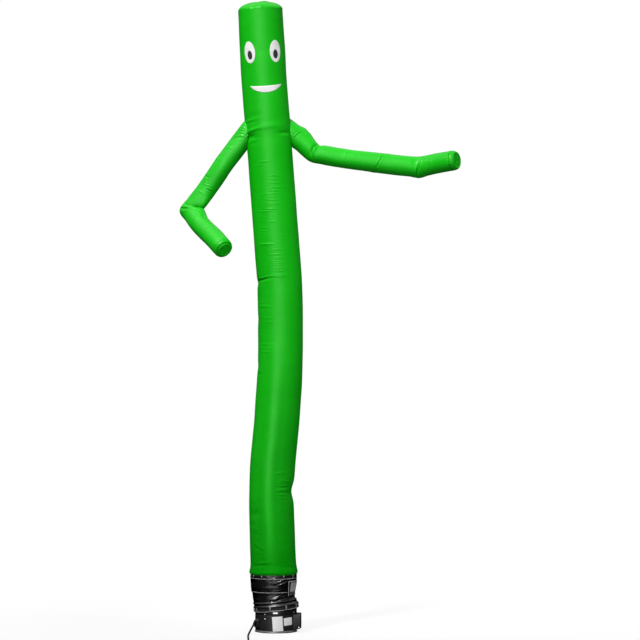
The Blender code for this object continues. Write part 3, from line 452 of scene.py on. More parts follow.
SLEEVE_ROUND = 0.22
METRES_ROUND = 0.0038     # metres round the sleeve for each degree
STRAP_RISE = (0.0125, 0.0315)
STRAP_THICK = 0.0022
LOOP_RISE = (0.003, 0.045)
LOOP_WIDTH = 0.014
LOOP_THICK = 0.0016
LOOP_SEAT = 0.0018
LOOP_OVER = 0.0055
LOOP_ANGLES = [-57, -14.5, 27, 62, 102, 142, 182, 222, 262]
# From angle, to angle, from height, to height
CLOSURE_FLAP = (40.3, 92.0, 0.363, 0.515)
FLAP_LEAN = 4.6           # how far round the flap's front edge moves from its top to its foot
CLOSURE_PANEL = (49.5, 82.5, 0.408, 0.498)
TAB_HEIGHTS = (0.37, 0.404)

# Cord: the part's own route, then the coil's turns, then the part's own tail
GROUND = 0.0095           # height of the cord's middle where it lies on the ground
LIE = 0.0108              # and in the coil's lowest turns, which the tie passes under
CORD_ROUTE = [
    (-0.2185, -0.1582, 0.0868),
    (-0.2293, -0.179, 0.0684),
    (-0.2405, -0.203, 0.049),
    (-0.251, -0.232, 0.0312),
    (-0.2585, -0.268, 0.0183),
    (-0.263, -0.31, 0.0117),
    (-0.265, -0.36, 0.0098),
    (-0.2665, -0.45, GROUND),
    (-0.266, -0.54, GROUND),
    (-0.263, -0.63, GROUND),
    (-0.259, -0.72, GROUND),
    (-0.2565, -0.8, GROUND),
    (-0.256, -0.88, GROUND),
    (-0.257, -0.96, GROUND),
    (-0.2593, -1.03, GROUND),
    (-0.2612, -1.1, 0.01),
    (-0.2619, -1.15, 0.0105),
    (-0.262, -1.186, LIE),
]
COIL_CENTRE = (-0.154, -1.25)
COIL_RADIUS = 0.099
COIL_TOP_LIFT = 0.0182
# The coil's turns: how far round, how far off its middle radius, how far up
COIL_STEPS = [
    # turn in degrees, radius off the middle, lift
    (180, CORD_DIAMETER / 2, 0.0),
    (430, CORD_DIAMETER / 2, 0.0),
    (525, -CORD_DIAMETER / 2, 0.0),
    (755, -CORD_DIAMETER / 2, 0.0),
    (832, 0.0, COIL_TOP_LIFT),
    (990, 0.0, COIL_TOP_LIFT),
]
TAIL_ROUTE = [
    (-0.07, -1.349, 0.0235),
    (-0.056, -1.3492, 0.02),
    (-0.042, -1.3495, 0.0172),
    (-0.028, -1.35, 0.0155),
    (-0.014, -1.3505, 0.0148),
]
# The cord on its way down off the coil
HUMP = [
    (-0.13, -1.349, 0.0292),
    (-0.11, -1.349, 0.029),
    (-0.09, -1.349, 0.0275),
]
RELIEF_AIM = (-0.36, -0.7, -0.62)
RELIEF_LENGTH = 0.045
RELIEF_RADII = (0.0165, 0.011)
RELIEF_RIBS = 7
GLAND_ANGLE = -58.0
GLAND_HALF_WIDTH = 0.028
GLAND_REACH = 0.03
GLAND_HEIGHTS = (0.052, 0.138, 0.118)
TIE_ANGLE = 45.0
TIE_WIDTH = 0.02
PLUG_LENGTH = 0.055
PLUG_HALF = (0.018, 0.0148)
PLUG_SECTIONS = [
    # share of the length, share of the half width, share of the half height
    (0.0, 0.55, 0.66), (0.04, 0.62, 0.74), (0.14, 0.64, 0.76), (0.17, 0.7, 0.82), (0.24, 0.7, 0.82),
    (0.27, 0.66, 0.78), (0.31, 0.72, 0.86), (0.38, 0.72, 0.86), (0.41, 0.7, 0.82), (0.46, 0.8, 0.92),
    (0.54, 0.94, 0.98), (0.62, 1.0, 1.0), (0.92, 1.0, 1.0), (0.985, 0.97, 0.97), (1.0, 0.9, 0.92),
]
PLUG_SIDES = 32
PLUG_METAL = ("plug_blade_a", "plug_blade_b", "plug_earth_pin")

# Fittings on the drum: each rivet's angle and height, and the angles and heights of plates and clip
TURNED_SIDES = 128
RIVETS = [(-30.9, 0.187), (-30.9, 0.1405), (60.2, 0.202)]
PLATE_LARGE = (-8.8, 19.8, 0.019, 0.1655)
PLATE_SMALL = (23.0, 50.2, 0.077, 0.1525)
PLATE_TILT = 4.0
CLIP_AND_GLINT = (-7.3, 5.6, 0.194, 0.211)
BOX_OUT = 0.254
BOX_HALF_DEPTH = 0.12
BOX_TOP = 0.178
BOX_CORNER = 0.018
BOX_FOOT_IN = 0.019
BOX_FOOT_OUT = 0.043
BOX_FOOT_FROM = 0.17
BOX_RIBS = (0.1905, 0.244)
SCREW_PLACE = (0.228, 0.052)

# Colours, linear
GREEN = (0.0012, 0.325, 0.0014)
GREEN_DEEP = (0.0006, 0.3, 0.0008)
ARM_GREEN_PAINTED_LIGHT = (0.0016, 0.37, 0.0018)   # painted light: a paler green standing in for the light through the narrow arms
BODY_SHEEN = 0.3
SHEEN_TINT = (0.66, 1.0, 0.66)
PAINTED_SHEEN_TINT = (0.18, 1.0, 0.18)
WHITE = (0.53, 0.53, 0.525)
INK = (0.012, 0.012, 0.016)
BINDING_BLACK = (0.006, 0.006, 0.0065)
HOOK_GREY = (0.29, 0.29, 0.292)
TAB_GREY = (0.065, 0.065, 0.0655)
LOOP_GREY = (0.16, 0.16, 0.161)
VINYL = (0.0036, 0.0036, 0.0038)
WEBBING = (0.004, 0.004, 0.004)
THREAD = (0.42, 0.42, 0.42)
PLASTIC = (0.0085, 0.0085, 0.0088)
BOX_PLASTIC = (0.0026, 0.0026, 0.0027)
# Painted highlight: pale bands near the ground on the base's rim and the drum's foot stand in for the light
# line along the rim
RIM_PAINTED_HIGHLIGHT = (0.17, 0.17, 0.172)
DRUM_PAINTED_HIGHLIGHT = (0.14, 0.14, 0.142)
PLATE = (0.74, 0.74, 0.74)
PLATE_WORN = (0.6, 0.6, 0.6)
STEEL = (0.86, 0.86, 0.85)
# Painted highlight: near-white and in a look that is only partly metal, so the rivets and clip read bright
# from every side in place of their glints
ZINC_PAINTED_GLINT = (0.95, 0.95, 0.94)
RUBBER = (0.0035, 0.0035, 0.0035)
RUBBER_WORN = (0.004, 0.004, 0.004)
FLOOR = (0.86, 0.86, 0.86)

# Weaves: the threads' pitch, and the grid of the thicker ones
NYLON_WEAVE = (0.0011, 0.01)
PATCH_WEAVE = (0.0012, 0.0048)
STRAP_WEAVE = (0.0024, 0.0072)

# What is painted up the standing tube and on the drum's foot, with the heights that it changes between:
# painted shade and painted sheen on the tube, a painted highlight band on the base and drum
FOOT_PAINTED_SHADE = 0.34          # share of the painted shade's dark green at the tube's foot
PAINTED_SHADE_BAND = (0.55, 1.35)
FOOT_SHADED_SHEEN = 0.12         # share of the sheen left at the foot, dulled there as painted shade
SHADED_SHEEN_BAND = (0.62, 1.15)
PAINTED_SHEEN_BOOST = 2.3           # times the sheen on the lower part, in the greener tint: a painted highlight
PAINTED_SHEEN_BAND = (1.2, 2.4)
HIGHLIGHT_BAND_FOOT = (0.0086, 0.0094)
HIGHLIGHT_BAND_TOP = (0.022, 0.024)

# Camera and light
CAMERA_PLACE = (0.44, -29.0, 3.113)
CAMERA_REACH = 200.0
SENSOR = 36.0
PIXELS_PER_RADIAN = 2900.0
FRAME_SIZE = 640.0
SUNS = [
    # name, power, size in degrees, direction of the light, lights the cloth, seen in reflections
    ("high", 0.5, 30.0, (-0.45, -0.45, 0.77), True, True),
    ("low", 0.68, 28.0, (-0.27, -0.945, 0.18), True, False),
    ("shine", 1.75, 58.0, (-0.09, -0.98, 0.16), False, True),
    ("rear", 0.8, 30.0, (0.45, 0.85, 0.3), True, False),
]
SPOTS = [
    # name, place, target, power, cone in degrees, blend, radius, lights the cloth, seen in reflections
    ("key", (-6.5, -11.8, 18.9), (0.2, 0.0, 4.4), 17600.0, 15.6, 0.38, 1.2, True, True),
    ("fill", (11.5, -8.0, 8.5), (0.2, 0.0, 4.3), 3300.0, 25.0, 0.6, 2.5, True, False),
    ("glint_a", (-4.7, -7.3, 11.4), (0.0, -0.2, 0.3), 10500.0, 4.4, 0.5, 0.6, False, True),
    ("glint_b", (-2.87, -8.0, 11.6), (0.0, -0.2, 0.3), 12600.0, 4.4, 0.5, 0.6, False, True),
    ("glint_c", (-0.98, -8.3, 11.7), (0.0, -0.2, 0.3), 10500.0, 4.4, 0.5, 0.6, False, True),
]
# The world's strength from straight down (0) to straight up (1): on the cloth, in reflections, as backdrop
WORLD_LIGHT = [(0.0, 0.22), (0.5, 0.36), (1.0, 0.95)]
WORLD_GLOSS = [(0.0, 0.0), (0.54, 0.01), (0.68, 0.15), (0.8, 0.85), (1.0, 1.4)]
WORLD_BACKDROP = [(0.0, 1.0), (1.0, 1.0)]
WORLD_TOP_LEVEL = 4.0
FLOOR_RADIUS = 4.2
FLOOR_FADE = 2.4
FLOOR_CLEAR = 0.82          # how far the floor lets the white backdrop through


# Camera, light and floor

def make_camera():
    """A level camera in front of the dancer, with the photo's lens."""
    data = bpy.data.cameras.new("camera")
    data.sensor_width = SENSOR
    data.lens = SENSOR * PIXELS_PER_RADIAN / FRAME_SIZE
    data.clip_end = CAMERA_REACH
    camera = bpy.data.objects.new("camera", data)
    camera.location = CAMERA_PLACE
    camera.rotation_euler = (math.pi / 2, 0.0, 0.0)
    bpy.context.scene.collection.objects.link(camera)
    bpy.context.scene.camera = camera


def aim_lamp(name, kind, power, direction, lights, seen):
    """A lamp that shines from a direction, on the cloth, in the reflections or in both."""
    data = bpy.data.lights.new(name, kind)
    data.energy = power
    lamp = bpy.data.objects.new(name, data)
    lamp.rotation_euler = Vector(direction).to_track_quat("Z", "Y").to_euler()
    lamp.visible_diffuse = lights
    lamp.visible_glossy = seen
    bpy.context.scene.collection.objects.link(lamp)
    return lamp


def make_light():
    """Suns, and spots that leave the foot of the tube darker."""
    for name, power, spread, direction, lights, seen in SUNS:
        sun = aim_lamp(name, "SUN", power, direction, lights, seen)
        sun.data.angle = math.radians(spread)
    for name, place, target, power, cone, blend, radius, lights, seen in SPOTS:
        spot = aim_lamp(name, "SPOT", power, Vector(place) - Vector(target), lights, seen)
        spot.location = place
        spot.data.spot_size = math.radians(cone)
        spot.data.spot_blend = blend
        spot.data.shadow_soft_size = radius


def graded_background(tree, height, levels):
    """White light whose strength follows levels from straight down (0) to straight up (1)."""
    shader = tree.nodes.new("ShaderNodeBackground")
    shader.inputs["Color"].default_value = (1.0, 1.0, 1.0, 1.0)
    spread = tree.nodes.new("ShaderNodeFloatCurve")
    curve = spread.mapping.curves[0]
    spread.mapping.clip_max_y = WORLD_TOP_LEVEL
    for place, level in levels[1:-1]:
        curve.points.new(place, level)
    curve.points[0].location = levels[0]
    curve.points[-1].location = levels[-1]
    spread.mapping.update()
    tree.links.new(height, spread.inputs["Value"])
    tree.links.new(spread.outputs["Value"], shader.inputs["Strength"])
    return shader.outputs[0]


def mix_shaders(tree, factor, first, second):
    """The first shader giving way to the second by a factor."""
    mix = tree.nodes.new("ShaderNodeMixShader")
    for socket, value in zip(mix.inputs, (factor, first, second)):
        tree.links.new(value, socket)
    return mix.outputs[0]


def make_world():
    """White behind, brighter overhead than below, and dark in the reflections except overhead."""
    world = bpy.data.worlds.new("studio")
    world.use_nodes = True
    world.cycles.sampling_method = "NONE"
    tree = world.node_tree
    tree.nodes.clear()
    split = tree.nodes.new("ShaderNodeSeparateXYZ")
    tree.links.new(tree.nodes.new("ShaderNodeTexCoord").outputs["Generated"], split.inputs[0])
    height = add_math(tree, "MULTIPLY", add_math(tree, "ADD", split.outputs["Z"], 1.0), 0.5)
    rays = tree.nodes.new("ShaderNodeLightPath").outputs
    seen = graded_background(tree, height, WORLD_GLOSS)
    for ray, levels in (("Is Diffuse Ray", WORLD_LIGHT), ("Is Camera Ray", WORLD_BACKDROP)):
        seen = mix_shaders(tree, rays[ray], seen, graded_background(tree, height, levels))
    out = tree.nodes.new("ShaderNodeOutputWorld")
    tree.links.new(seen, out.inputs["Surface"])
    bpy.context.scene.world = world
    bpy.context.scene.view_settings.view_transform = "Standard"


def make_floor():
    """A pale round floor that fades into the backdrop."""
    mesh = bmesh.new()
    bmesh.ops.create_circle(mesh, cap_ends=True, radius=FLOOR_RADIUS, segments=96)
    data = bpy.data.meshes.new("floor")
    mesh.to_mesh(data)
    mesh.free()
    floor = bpy.data.objects.new("floor", data)
    look, tree, where = new_material("floor_pale", FLOOR, 0.9)
    far = add_math(tree, "LENGTH", where, vector=True)
    fade = add_range(tree, far, FLOOR_CLEAR, 1.0, FLOOR_RADIUS - FLOOR_FADE, FLOOR_RADIUS, "SMOOTHSTEP")
    clear = tree.nodes.new("ShaderNodeBsdfTransparent").outputs[0]
    solid = tree.nodes["Principled BSDF"].outputs[0]
    tree.links.new(mix_shaders(tree, fade, solid, clear), tree.nodes["Material Output"].inputs["Surface"])
    data.materials.append(look)
    floor.visible_glossy = False
    bpy.context.scene.collection.objects.link(floor)


# Materials

def feed(tree, socket, value):
    """Give a socket a number, a colour, or what another socket puts out."""
    if isinstance(value, bpy.types.NodeSocket):
        tree.links.new(value, socket)
    else:
        socket.default_value = (*value, 1.0) if isinstance(value, tuple) else value


def add_math(tree, operation, first, second=None, vector=False):
    """What an arithmetic node makes of one or two values."""
    node = tree.nodes.new("ShaderNodeVectorMath" if vector else "ShaderNodeMath")
    node.operation = operation
    feed(tree, node.inputs[0], first)
    if second is not None:
        feed(tree, node.inputs[1], second)
    return node.outputs["Value"]


def new_material(name, colour, roughness, metallic=0.0):
    """A plain material, its node tree, and the object's own coordinates in it."""
    made = bpy.data.materials.new(name)
    made.use_nodes = True
    tree = made.node_tree
    shade(made, {"Base Color": colour, "Roughness": roughness, "Metallic": metallic})
    return made, tree, tree.nodes.new("ShaderNodeTexCoord").outputs["Object"]


def shade(made, values):
    """Set a material's shader: a number or colour that is the same all over, or a socket's output."""
    tree = made.node_tree
    for name, value in values.items():
        feed(tree, tree.nodes["Principled BSDF"].inputs[name], value)
    return made


def scaled(colour, share, lift=0.0):
    """A darker or a paler colour."""
    return tuple(min(1.0, level * share + lift) for level in colour)


def add_noise(tree, coordinate, scale, detail=3.0, stretch=(1.0, 1.0, 1.0)):
    """Cloudy noise, finer with its scale; a stretch above 1 along an axis squeezes it there."""
    mapping = tree.nodes.new("ShaderNodeMapping")
    mapping.inputs["Scale"].default_value = stretch
    tree.links.new(coordinate, mapping.inputs["Vector"])
    noise = tree.nodes.new("ShaderNodeTexNoise")
    noise.inputs["Scale"].default_value = scale
    noise.inputs["Detail"].default_value = detail
    tree.links.new(mapping.outputs["Vector"], noise.inputs["Vector"])
    return noise.outputs["Fac"]


def add_range(tree, value, low, high, from_low=0.3, from_high=0.7, kind="LINEAR"):
    """A value taken from one range to another and held at its ends."""
    spread = tree.nodes.new("ShaderNodeMapRange")
    spread.interpolation_type = kind
    for name, number in (("From Min", from_low), ("From Max", from_high), ("To Min", low), ("To Max", high)):
        spread.inputs[name].default_value = number
    tree.links.new(value, spread.inputs["Value"])
    return spread.outputs["Result"]


def mix_colours(tree, factor, low, high):
    """A colour between two others."""
    mix = tree.nodes.new("ShaderNodeMix")
    mix.data_type = "RGBA"
    for number, value in ((0, factor), (6, low), (7, high)):
        feed(tree, mix.inputs[number], value)
    return mix.outputs[2]


def add_bump(tree, height, distance, strength, under=None):
    """A relief, laid over another one where it is given."""
    bump = tree.nodes.new("ShaderNodeBump")
    bump.inputs["Strength"].default_value = strength
    bump.inputs["Distance"].default_value = distance
    tree.links.new(height, bump.inputs["Height"])
    if under is not None:
        tree.links.new(under, bump.inputs["Normal"])
    return bump.outputs["Normal"]


def weave_height(tree, pitch, grid):
    """Threads both ways over the cloth's own metres, with a thicker one every grid step."""
    where = tree.nodes.new("ShaderNodeUVMap")
    where.uv_map = UV_LAYER
    split = tree.nodes.new("ShaderNodeSeparateXYZ")
    tree.links.new(where.outputs["UV"], split.inputs[0])
    parts = []
    for axis in ("X", "Y"):
        place = split.outputs[axis]
        fine, wave = [add_math(tree, "SINE", add_math(tree, "MULTIPLY", place, 2 * math.pi / step))
                      for step in (pitch, grid)]
        rib = add_math(tree, "POWER", add_math(tree, "ABSOLUTE", wave), 12.0)
        parts.append(add_math(tree, "ADD", add_math(tree, "MULTIPLY", fine, 0.35), rib))
    return add_math(tree, "ADD", *parts)


def by_height(made):
    """A material's tree, the height at each place of it, and its colour so far."""
    tree = made.node_tree
    split = tree.nodes.new("ShaderNodeSeparateXYZ")
    tree.links.new(tree.nodes.new("ShaderNodeTexCoord").outputs["Object"], split.inputs[0])
    unpainted = tree.nodes["Principled BSDF"].inputs["Base Color"].links[0].from_socket
    return tree, split.outputs["Z"], unpainted


def nylon(name, light, deep, sheen, roughness):
    """Thin coated ripstop nylon: a slightly uneven colour, a soft sheen and a fine grid."""
    made, tree, where = new_material(name, light, 0.5)
    cloudy = add_range(tree, add_noise(tree, where, 2.2, 3.0, (1.0, 1.0, 2.5)), 0.0, 1.0)
    patchy = add_noise(tree, where, 9.0, 4.0, (1.0, 1.0, 5.0))
    crumple = add_bump(tree, add_noise(tree, where, 26.0, 5.0, (1.0, 1.0, 3.0)), 0.0011, 0.5)
    return shade(made, {
        "Base Color": mix_colours(tree, cloudy, deep, light),
        "Roughness": add_range(tree, patchy, roughness - 0.05, roughness + 0.05),
        "Normal": add_bump(tree, weave_height(tree, *NYLON_WEAVE), 0.00008, 0.6, crumple),
        "Specular IOR Level": sheen,
        "Specular Tint": SHEEN_TINT,
    })


def paint_foot_shade_and_sheen(made, deep, sheen):
    """Paint shade on a standing tube's foot and dull its sheen there, with a stronger, greener painted sheen
    on the part above.
    """
    tree, height, unpainted = by_height(made)
    # Painted shade and painted highlight: the foot darkens to a dark green and loses its sheen, and the part
    # above takes a stronger, greener sheen, following how the light falls off down the tube
    painted_shade = add_range(tree, height, FOOT_PAINTED_SHADE, 0.0, *PAINTED_SHADE_BAND)
    foot = add_range(tree, height, sheen * FOOT_SHADED_SHEEN, sheen, *SHADED_SHEEN_BAND)
    low = add_range(tree, height, PAINTED_SHEEN_BOOST, 1.0, *PAINTED_SHEEN_BAND)
    paling = add_range(tree, height, 0.0, 1.0, *PAINTED_SHEEN_BAND)
    return shade(made, {
        "Base Color": mix_colours(tree, painted_shade, unpainted, (0.0, deep[1] * 0.2, 0.0)),
        "Specular IOR Level": add_math(tree, "MULTIPLY", foot, low),
        "Specular Tint": mix_colours(tree, paling, PAINTED_SHEEN_TINT, SHEEN_TINT),
    })


def patch_cloth(name, colour, roughness=0.62):
    """Plain woven cloth of the face."""
    made, tree, where = new_material(name, colour, roughness)
    cloudy = add_range(tree, add_noise(tree, where, 14.0), 0.0, 1.0)
    soft = add_bump(tree, add_noise(tree, where, 40.0, 4.0), 0.0008, 0.4)
    return shade(made, {
        "Base Color": mix_colours(tree, cloudy, scaled(colour, 0.93), scaled(colour, 1.08, 0.001)),
        "Normal": add_bump(tree, weave_height(tree, *PATCH_WEAVE), 0.0001, 0.5, soft),
    })


def vinyl(name, colour=VINYL, shine=0.32):
    """Vinyl-coated cloth: glossy, crinkled, dusty in patches."""
    made, tree, where = new_material(name, colour, shine)
    dusty = add_range(tree, add_noise(tree, where, 11.0, 5.0), 0.0, 1.0, 0.45, 0.8)
    crinkle = add_bump(tree, add_noise(tree, where, 22.0, 3.0, (1.0, 1.0, 2.2)), 0.0016, 0.45)
    return shade(made, {
        "Base Color": mix_colours(tree, dusty, colour, scaled(colour, 1.6, 0.001)),
        "Roughness": add_range(tree, add_noise(tree, where, 18.0, 4.0), shine - 0.07, shine + 0.12),
        "Normal": add_bump(tree, add_noise(tree, where, 420.0, 2.0), 0.0002, 0.4, crinkle),
        "Specular IOR Level": 0.2,
        "Coat Weight": 0.4,
        "Coat Roughness": 0.2,
        "Coat Normal": crinkle,
    })


def webbing(name):
    """Flat woven strap, with ribs across it."""
    made, tree, where = new_material(name, WEBBING, 0.75)
    faded = add_range(tree, add_noise(tree, where, 30.0, 4.0), 0.0, 1.0)
    return shade(made, {
        "Base Color": mix_colours(tree, faded, WEBBING, scaled(WEBBING, 2.0)),
        "Normal": add_bump(tree, weave_height(tree, *STRAP_WEAVE), 0.0004, 0.7),
        "Specular IOR Level": 0.15,
    })


def plastic(name, colour, roughness, grain=0.0003, worn=None, shine=0.3):
    """Moulded plastic with a fine grain and slightly uneven gloss."""
    made, tree, where = new_material(name, colour, roughness)
    rubbed = add_range(tree, add_noise(tree, where, 8.0, 6.0), 0.0, 1.0, 0.5, 0.8)
    return shade(made, {
        "Base Color": mix_colours(tree, rubbed, colour, worn or scaled(colour, 1.7, 0.002)),
        "Roughness": add_range(tree, add_noise(tree, where, 24.0, 4.0), roughness - 0.06, roughness + 0.08),
        "Normal": add_bump(tree, add_noise(tree, where, 700.0, 2.0), grain, 0.5),
        "Specular IOR Level": shine,
    })


def paint_highlight_band(made, painted_highlight):
    """The same look with a pale band painted near the ground: a painted highlight for the light line along
    the base's rim.
    """
    tree, height, unpainted = by_height(made)
    # Painted highlight: pale between these two heights, for the light line along the rim
    above = add_range(tree, height, 0.0, 1.0, *HIGHLIGHT_BAND_FOOT)
    below = add_range(tree, height, 1.0, 0.0, *HIGHLIGHT_BAND_TOP)
    share = add_math(tree, "MULTIPLY", above, below)
    return shade(made, {"Base Color": mix_colours(tree, share, unpainted, painted_highlight)})


def metal(name, colour=STEEL, roughness=0.46, metallic=1.0):
    """Metal with fine marks drawn out along its height."""
    made, tree, where = new_material(name, colour, roughness, metallic)
    brushed = add_noise(tree, where, 300.0, 3.0, (1.0, 1.0, 0.08))
    return shade(made, {
        "Roughness": add_range(tree, brushed, roughness - 0.08, roughness + 0.14),
        "Normal": add_bump(tree, brushed, 0.0001, 0.3),
    })


def make_looks():
    """Every material by its short name."""
    body = nylon("green_nylon_cloth", GREEN, GREEN_DEEP, BODY_SHEEN, 0.41)
    return {
        # The body's foot carries painted shade and a painted sheen that change with height
        "body": paint_foot_shade_and_sheen(body, GREEN_DEEP, BODY_SHEEN),
        # Painted light: the arms' paler green, and the left arm's stronger sheen against the right arm's
        # weaker one, stand in for how the light falls on each arm
        "arm_left": nylon("green_nylon_left_arm_lit", ARM_GREEN_PAINTED_LIGHT, GREEN, 0.58, 0.42),
        "arm_right": nylon("green_nylon_right_arm_shaded", ARM_GREEN_PAINTED_LIGHT, GREEN, 0.34, 0.42),
        "eye": patch_cloth("white_patch", WHITE),
        "pupil": patch_cloth("dark_patch", INK, 0.5),
        "vinyl": vinyl("black_vinyl_cloth"),
        "binding": vinyl("black_binding", BINDING_BLACK, 0.3),
        "panel": vinyl("grey_hook_panel", HOOK_GREY, 0.34),
        "tab": vinyl("grey_hook_tab", TAB_GREY, 0.3),
        "loop": vinyl("loop_vinyl", LOOP_GREY, 0.22),
        "thread": patch_cloth("pale_thread", THREAD),
        "webbing": webbing("strap_webbing"),
        "plastic": plastic("blower_plastic", PLASTIC, 0.42),
        "rim": paint_highlight_band(plastic("blower_rim_plastic", PLASTIC, 0.36), RIM_PAINTED_HIGHLIGHT),
        "drum": paint_highlight_band(plastic("blower_drum_plastic", PLASTIC, 0.42), DRUM_PAINTED_HIGHLIGHT),
        "box": plastic("side_box_plastic", BOX_PLASTIC, 0.55),
        "plate": plastic("blank_plate", PLATE, 0.38, 0.00005, PLATE_WORN),
        "metal": metal("plated_steel"),
        "rivet": metal("zinc_rivets_painted_glint", ZINC_PAINTED_GLINT, 0.5, 0.25),
        "rubber": plastic("cord_rubber", RUBBER, 0.66, 0.0002, RUBBER_WORN, 0.08),
    }


# Mesh helpers

def stand_for(thing, slot_name, *nodes):
    """Put a piece in the scene as the look of CAD nodes."""
    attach(thing, "root")
    if nodes:
        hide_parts(*nodes)


def new_piece(name, points, faces, look, uvs, smooth_angle):
    """A mesh piece; uvs are the cloth's own metres at each point."""
    data = bpy.data.meshes.new(name)
    data.from_pydata([tuple(p) for p in points], [], [tuple(f) for f in faces])
    data.validate()
    layer = data.uv_layers.new(name=UV_LAYER)
    at = np.zeros(len(data.loops), dtype=np.int32)
    data.loops.foreach_get("vertex_index", at)
    layer.data.foreach_set("uv", np.asarray(uvs, dtype=np.float32)[at].ravel())
    data.shade_smooth()
    if smooth_angle is not None:
        data.set_sharp_from_angle(angle=math.radians(smooth_angle))
    data.materials.append(look)
    thing = bpy.data.objects.new(name, data)
    bpy.context.scene.collection.objects.link(thing)
    return thing


def from_bmesh(name, mesh, look, smooth_angle=35.0):
    """A piece from a solid's faces, turned outwards."""
    bmesh.ops.recalc_face_normals(mesh, faces=mesh.faces)
    points = [v.co.copy() for v in mesh.verts]
    mesh.verts.index_update()
    faces = [[v.index for v in f.verts] for f in mesh.faces]
    mesh.free()
    uvs = [(p.x + p.y, p.z) for p in points]
    return new_piece(name, points, faces, look, uvs, smooth_angle)


def join_rings(mesh, rings, capped=True):
    """Faces from each ring of points to the next, and over both ends; a ring of one point is a tip."""
    for a, b in zip(rings, rings[1:]):
        sides = max(len(a), len(b))
        for i in range(sides):
            j = (i + 1) % sides
            if len(a) == 1:
                mesh.faces.new((a[0], b[j], b[i]))
            elif len(b) == 1:
                mesh.faces.new((a[i], a[j], b[0]))
            else:
                mesh.faces.new((a[i], a[j], b[j], b[i]))
    for end in (rings[0], rings[-1]):
        if capped and len(end) > 1:
            mesh.faces.new(end)


def lofted(name, rings, look, smooth_angle=35.0, closed=False):
    """A piece through rings of points, its ends capped or its last ring joined to its first."""
    mesh = bmesh.new()
    rings = [[mesh.verts.new(tuple(p)) for p in ring] for ring in rings]
    join_rings(mesh, rings + rings[:1] if closed else rings, capped=not closed)
    return from_bmesh(name, mesh, look, smooth_angle)


def grid_faces(rows, columns):
    """Quads between the points of a grid."""
    at = np.arange(rows * columns).reshape(rows, columns)
    quads = np.stack([at[:-1, :-1], at[:-1, 1:], at[1:, 1:], at[1:, :-1]], axis=-1)
    return quads.reshape(-1, 4).tolist()


def grid_piece(name, points, uvs, look, thick=None, smooth_angle=None):
    """A sheet from a grid of points, its rows upwards and its columns towards +X at the front."""
    rows, columns = points.shape[:2]
    thing = new_piece(name, points.reshape(-1, 3), grid_faces(rows, columns), look,
                      uvs.reshape(-1, 2), smooth_angle)
    if thick:
        solid = thing.modifiers.new("thickness", "SOLIDIFY")
        solid.thickness = thick
        solid.offset = -1.0
    return thing


def cloth_uvs(across, along):
    """The cloth's own metres at each point of a grid."""
    return np.stack(np.broadcast_arrays(across, along), axis=-1)


def curve_shares(t):
    """What a smooth curve takes from its start, its end, and its slopes at both, part of the way along."""
    return 2 * t**3 - 3 * t**2 + 1, 3 * t**2 - 2 * t**3, t**3 - 2 * t**2 + t, t**3 - t**2


def smooth_values(rows, at, column):
    """Values of a column at heights, on a smooth curve through the rows."""
    heights, values = (np.array([row[k] for row in rows]) for k in (0, column))
    last = len(rows) - 1
    at = np.clip(np.asarray(at, dtype=float), heights[0], heights[last])
    before = np.maximum(np.arange(last + 1) - 1, 0)
    after = np.minimum(np.arange(last + 1) + 1, last)
    slopes = (values[after] - values[before]) / (heights[after] - heights[before])
    k = np.clip(np.searchsorted(heights, at, side="left") - 1, 0, last - 1)
    span = heights[k + 1] - heights[k]
    start, end, leaving, arriving = curve_shares((at - heights[k]) / span)
    return values[k] * start + values[k + 1] * end + span * (slopes[k] * leaving + slopes[k + 1] * arriving)


def bell(value, middle, half):
    """A smooth bump of height 1."""
    return np.exp(-((value - middle) / half) ** 2)


def fade_round(off, half):
    """1 in the middle of a crease and 0 at its two ends."""
    return np.where(np.abs(off) < half, np.cos(np.pi / 2 * off / half) ** 2, 0.0)


def crease_depth(creases, along, angles):
    """What ridges and troughs add at places along a tube and angles round it."""
    total = np.zeros(np.broadcast(along, angles).shape)
    for middle, heading, half, depth, half_width, climb, *bow in creases:
        off = (angles - heading + 180) % 360 - 180
        rise = (along - middle - climb * off - sum(bow) * off * off) / half_width
        total = total + depth * fade_round(off, half) * np.exp(-rise * rise)
    return total


def crest_depth(heights, angles):
    """What the lengthwise rises add to the body."""
    total = np.zeros(np.broadcast(heights, angles).shape)
    for middle, half, depth, foot, top in BODY_CRESTS:
        share = np.clip((heights - foot) / (top - foot), 0.0, 1.0)
        total = total + depth * fade_round(angles - middle, half) * np.sin(np.pi * share) ** 0.7
    return total


def around(angles):
    """Directions level with the ground at angles from the front."""
    turn = np.radians(angles)
    return np.stack([np.sin(turn), -np.cos(turn), np.zeros_like(turn)], axis=-1)


def full_turn(columns):
    """Angles once round from the back, so that a tube's lengthwise seam lies at its back."""
    return np.linspace(-180.0, 180.0, columns + 1)


# Body

def spread_wrinkles():
    """The wrinkle rows as single creases, with uneven spacing, length and depth."""
    creases = []
    for number, (top, foot, count, angle, half, depth) in enumerate(WRINKLE_ROWS):
        for k in range(count):
            sway = math.sin(2.3 * k + 1.7 * number)
            drift = math.cos(3.1 * k + 0.9 * number)
            height = top + (foot - top) * (k + 0.18 * sway) / (count - 1)
            creases.append((height, angle + 5.0 * drift, half * (0.86 + 0.2 * sway),
                            depth * (0.95 + 0.4 * drift), 0.0047, 0.00008 * sway - WRINKLE_FALL))
    return creases


BODY_FINE = BODY_CREASES + spread_wrinkles()


def soft_buckles(along, angles):
    """Slow shallow waves of cloth held only by the air."""
    turn = np.radians(angles)
    wave = np.sin(9.0 * along + 2.0 * np.sin(turn * 2 + 0.7) + 0.6)
    wave = wave + 0.7 * np.sin(17.0 * along - 3.0 * turn + 1.9) + 0.6 * np.sin(4 * turn + 3.7 * along)
    return BUCKLE * wave / 2


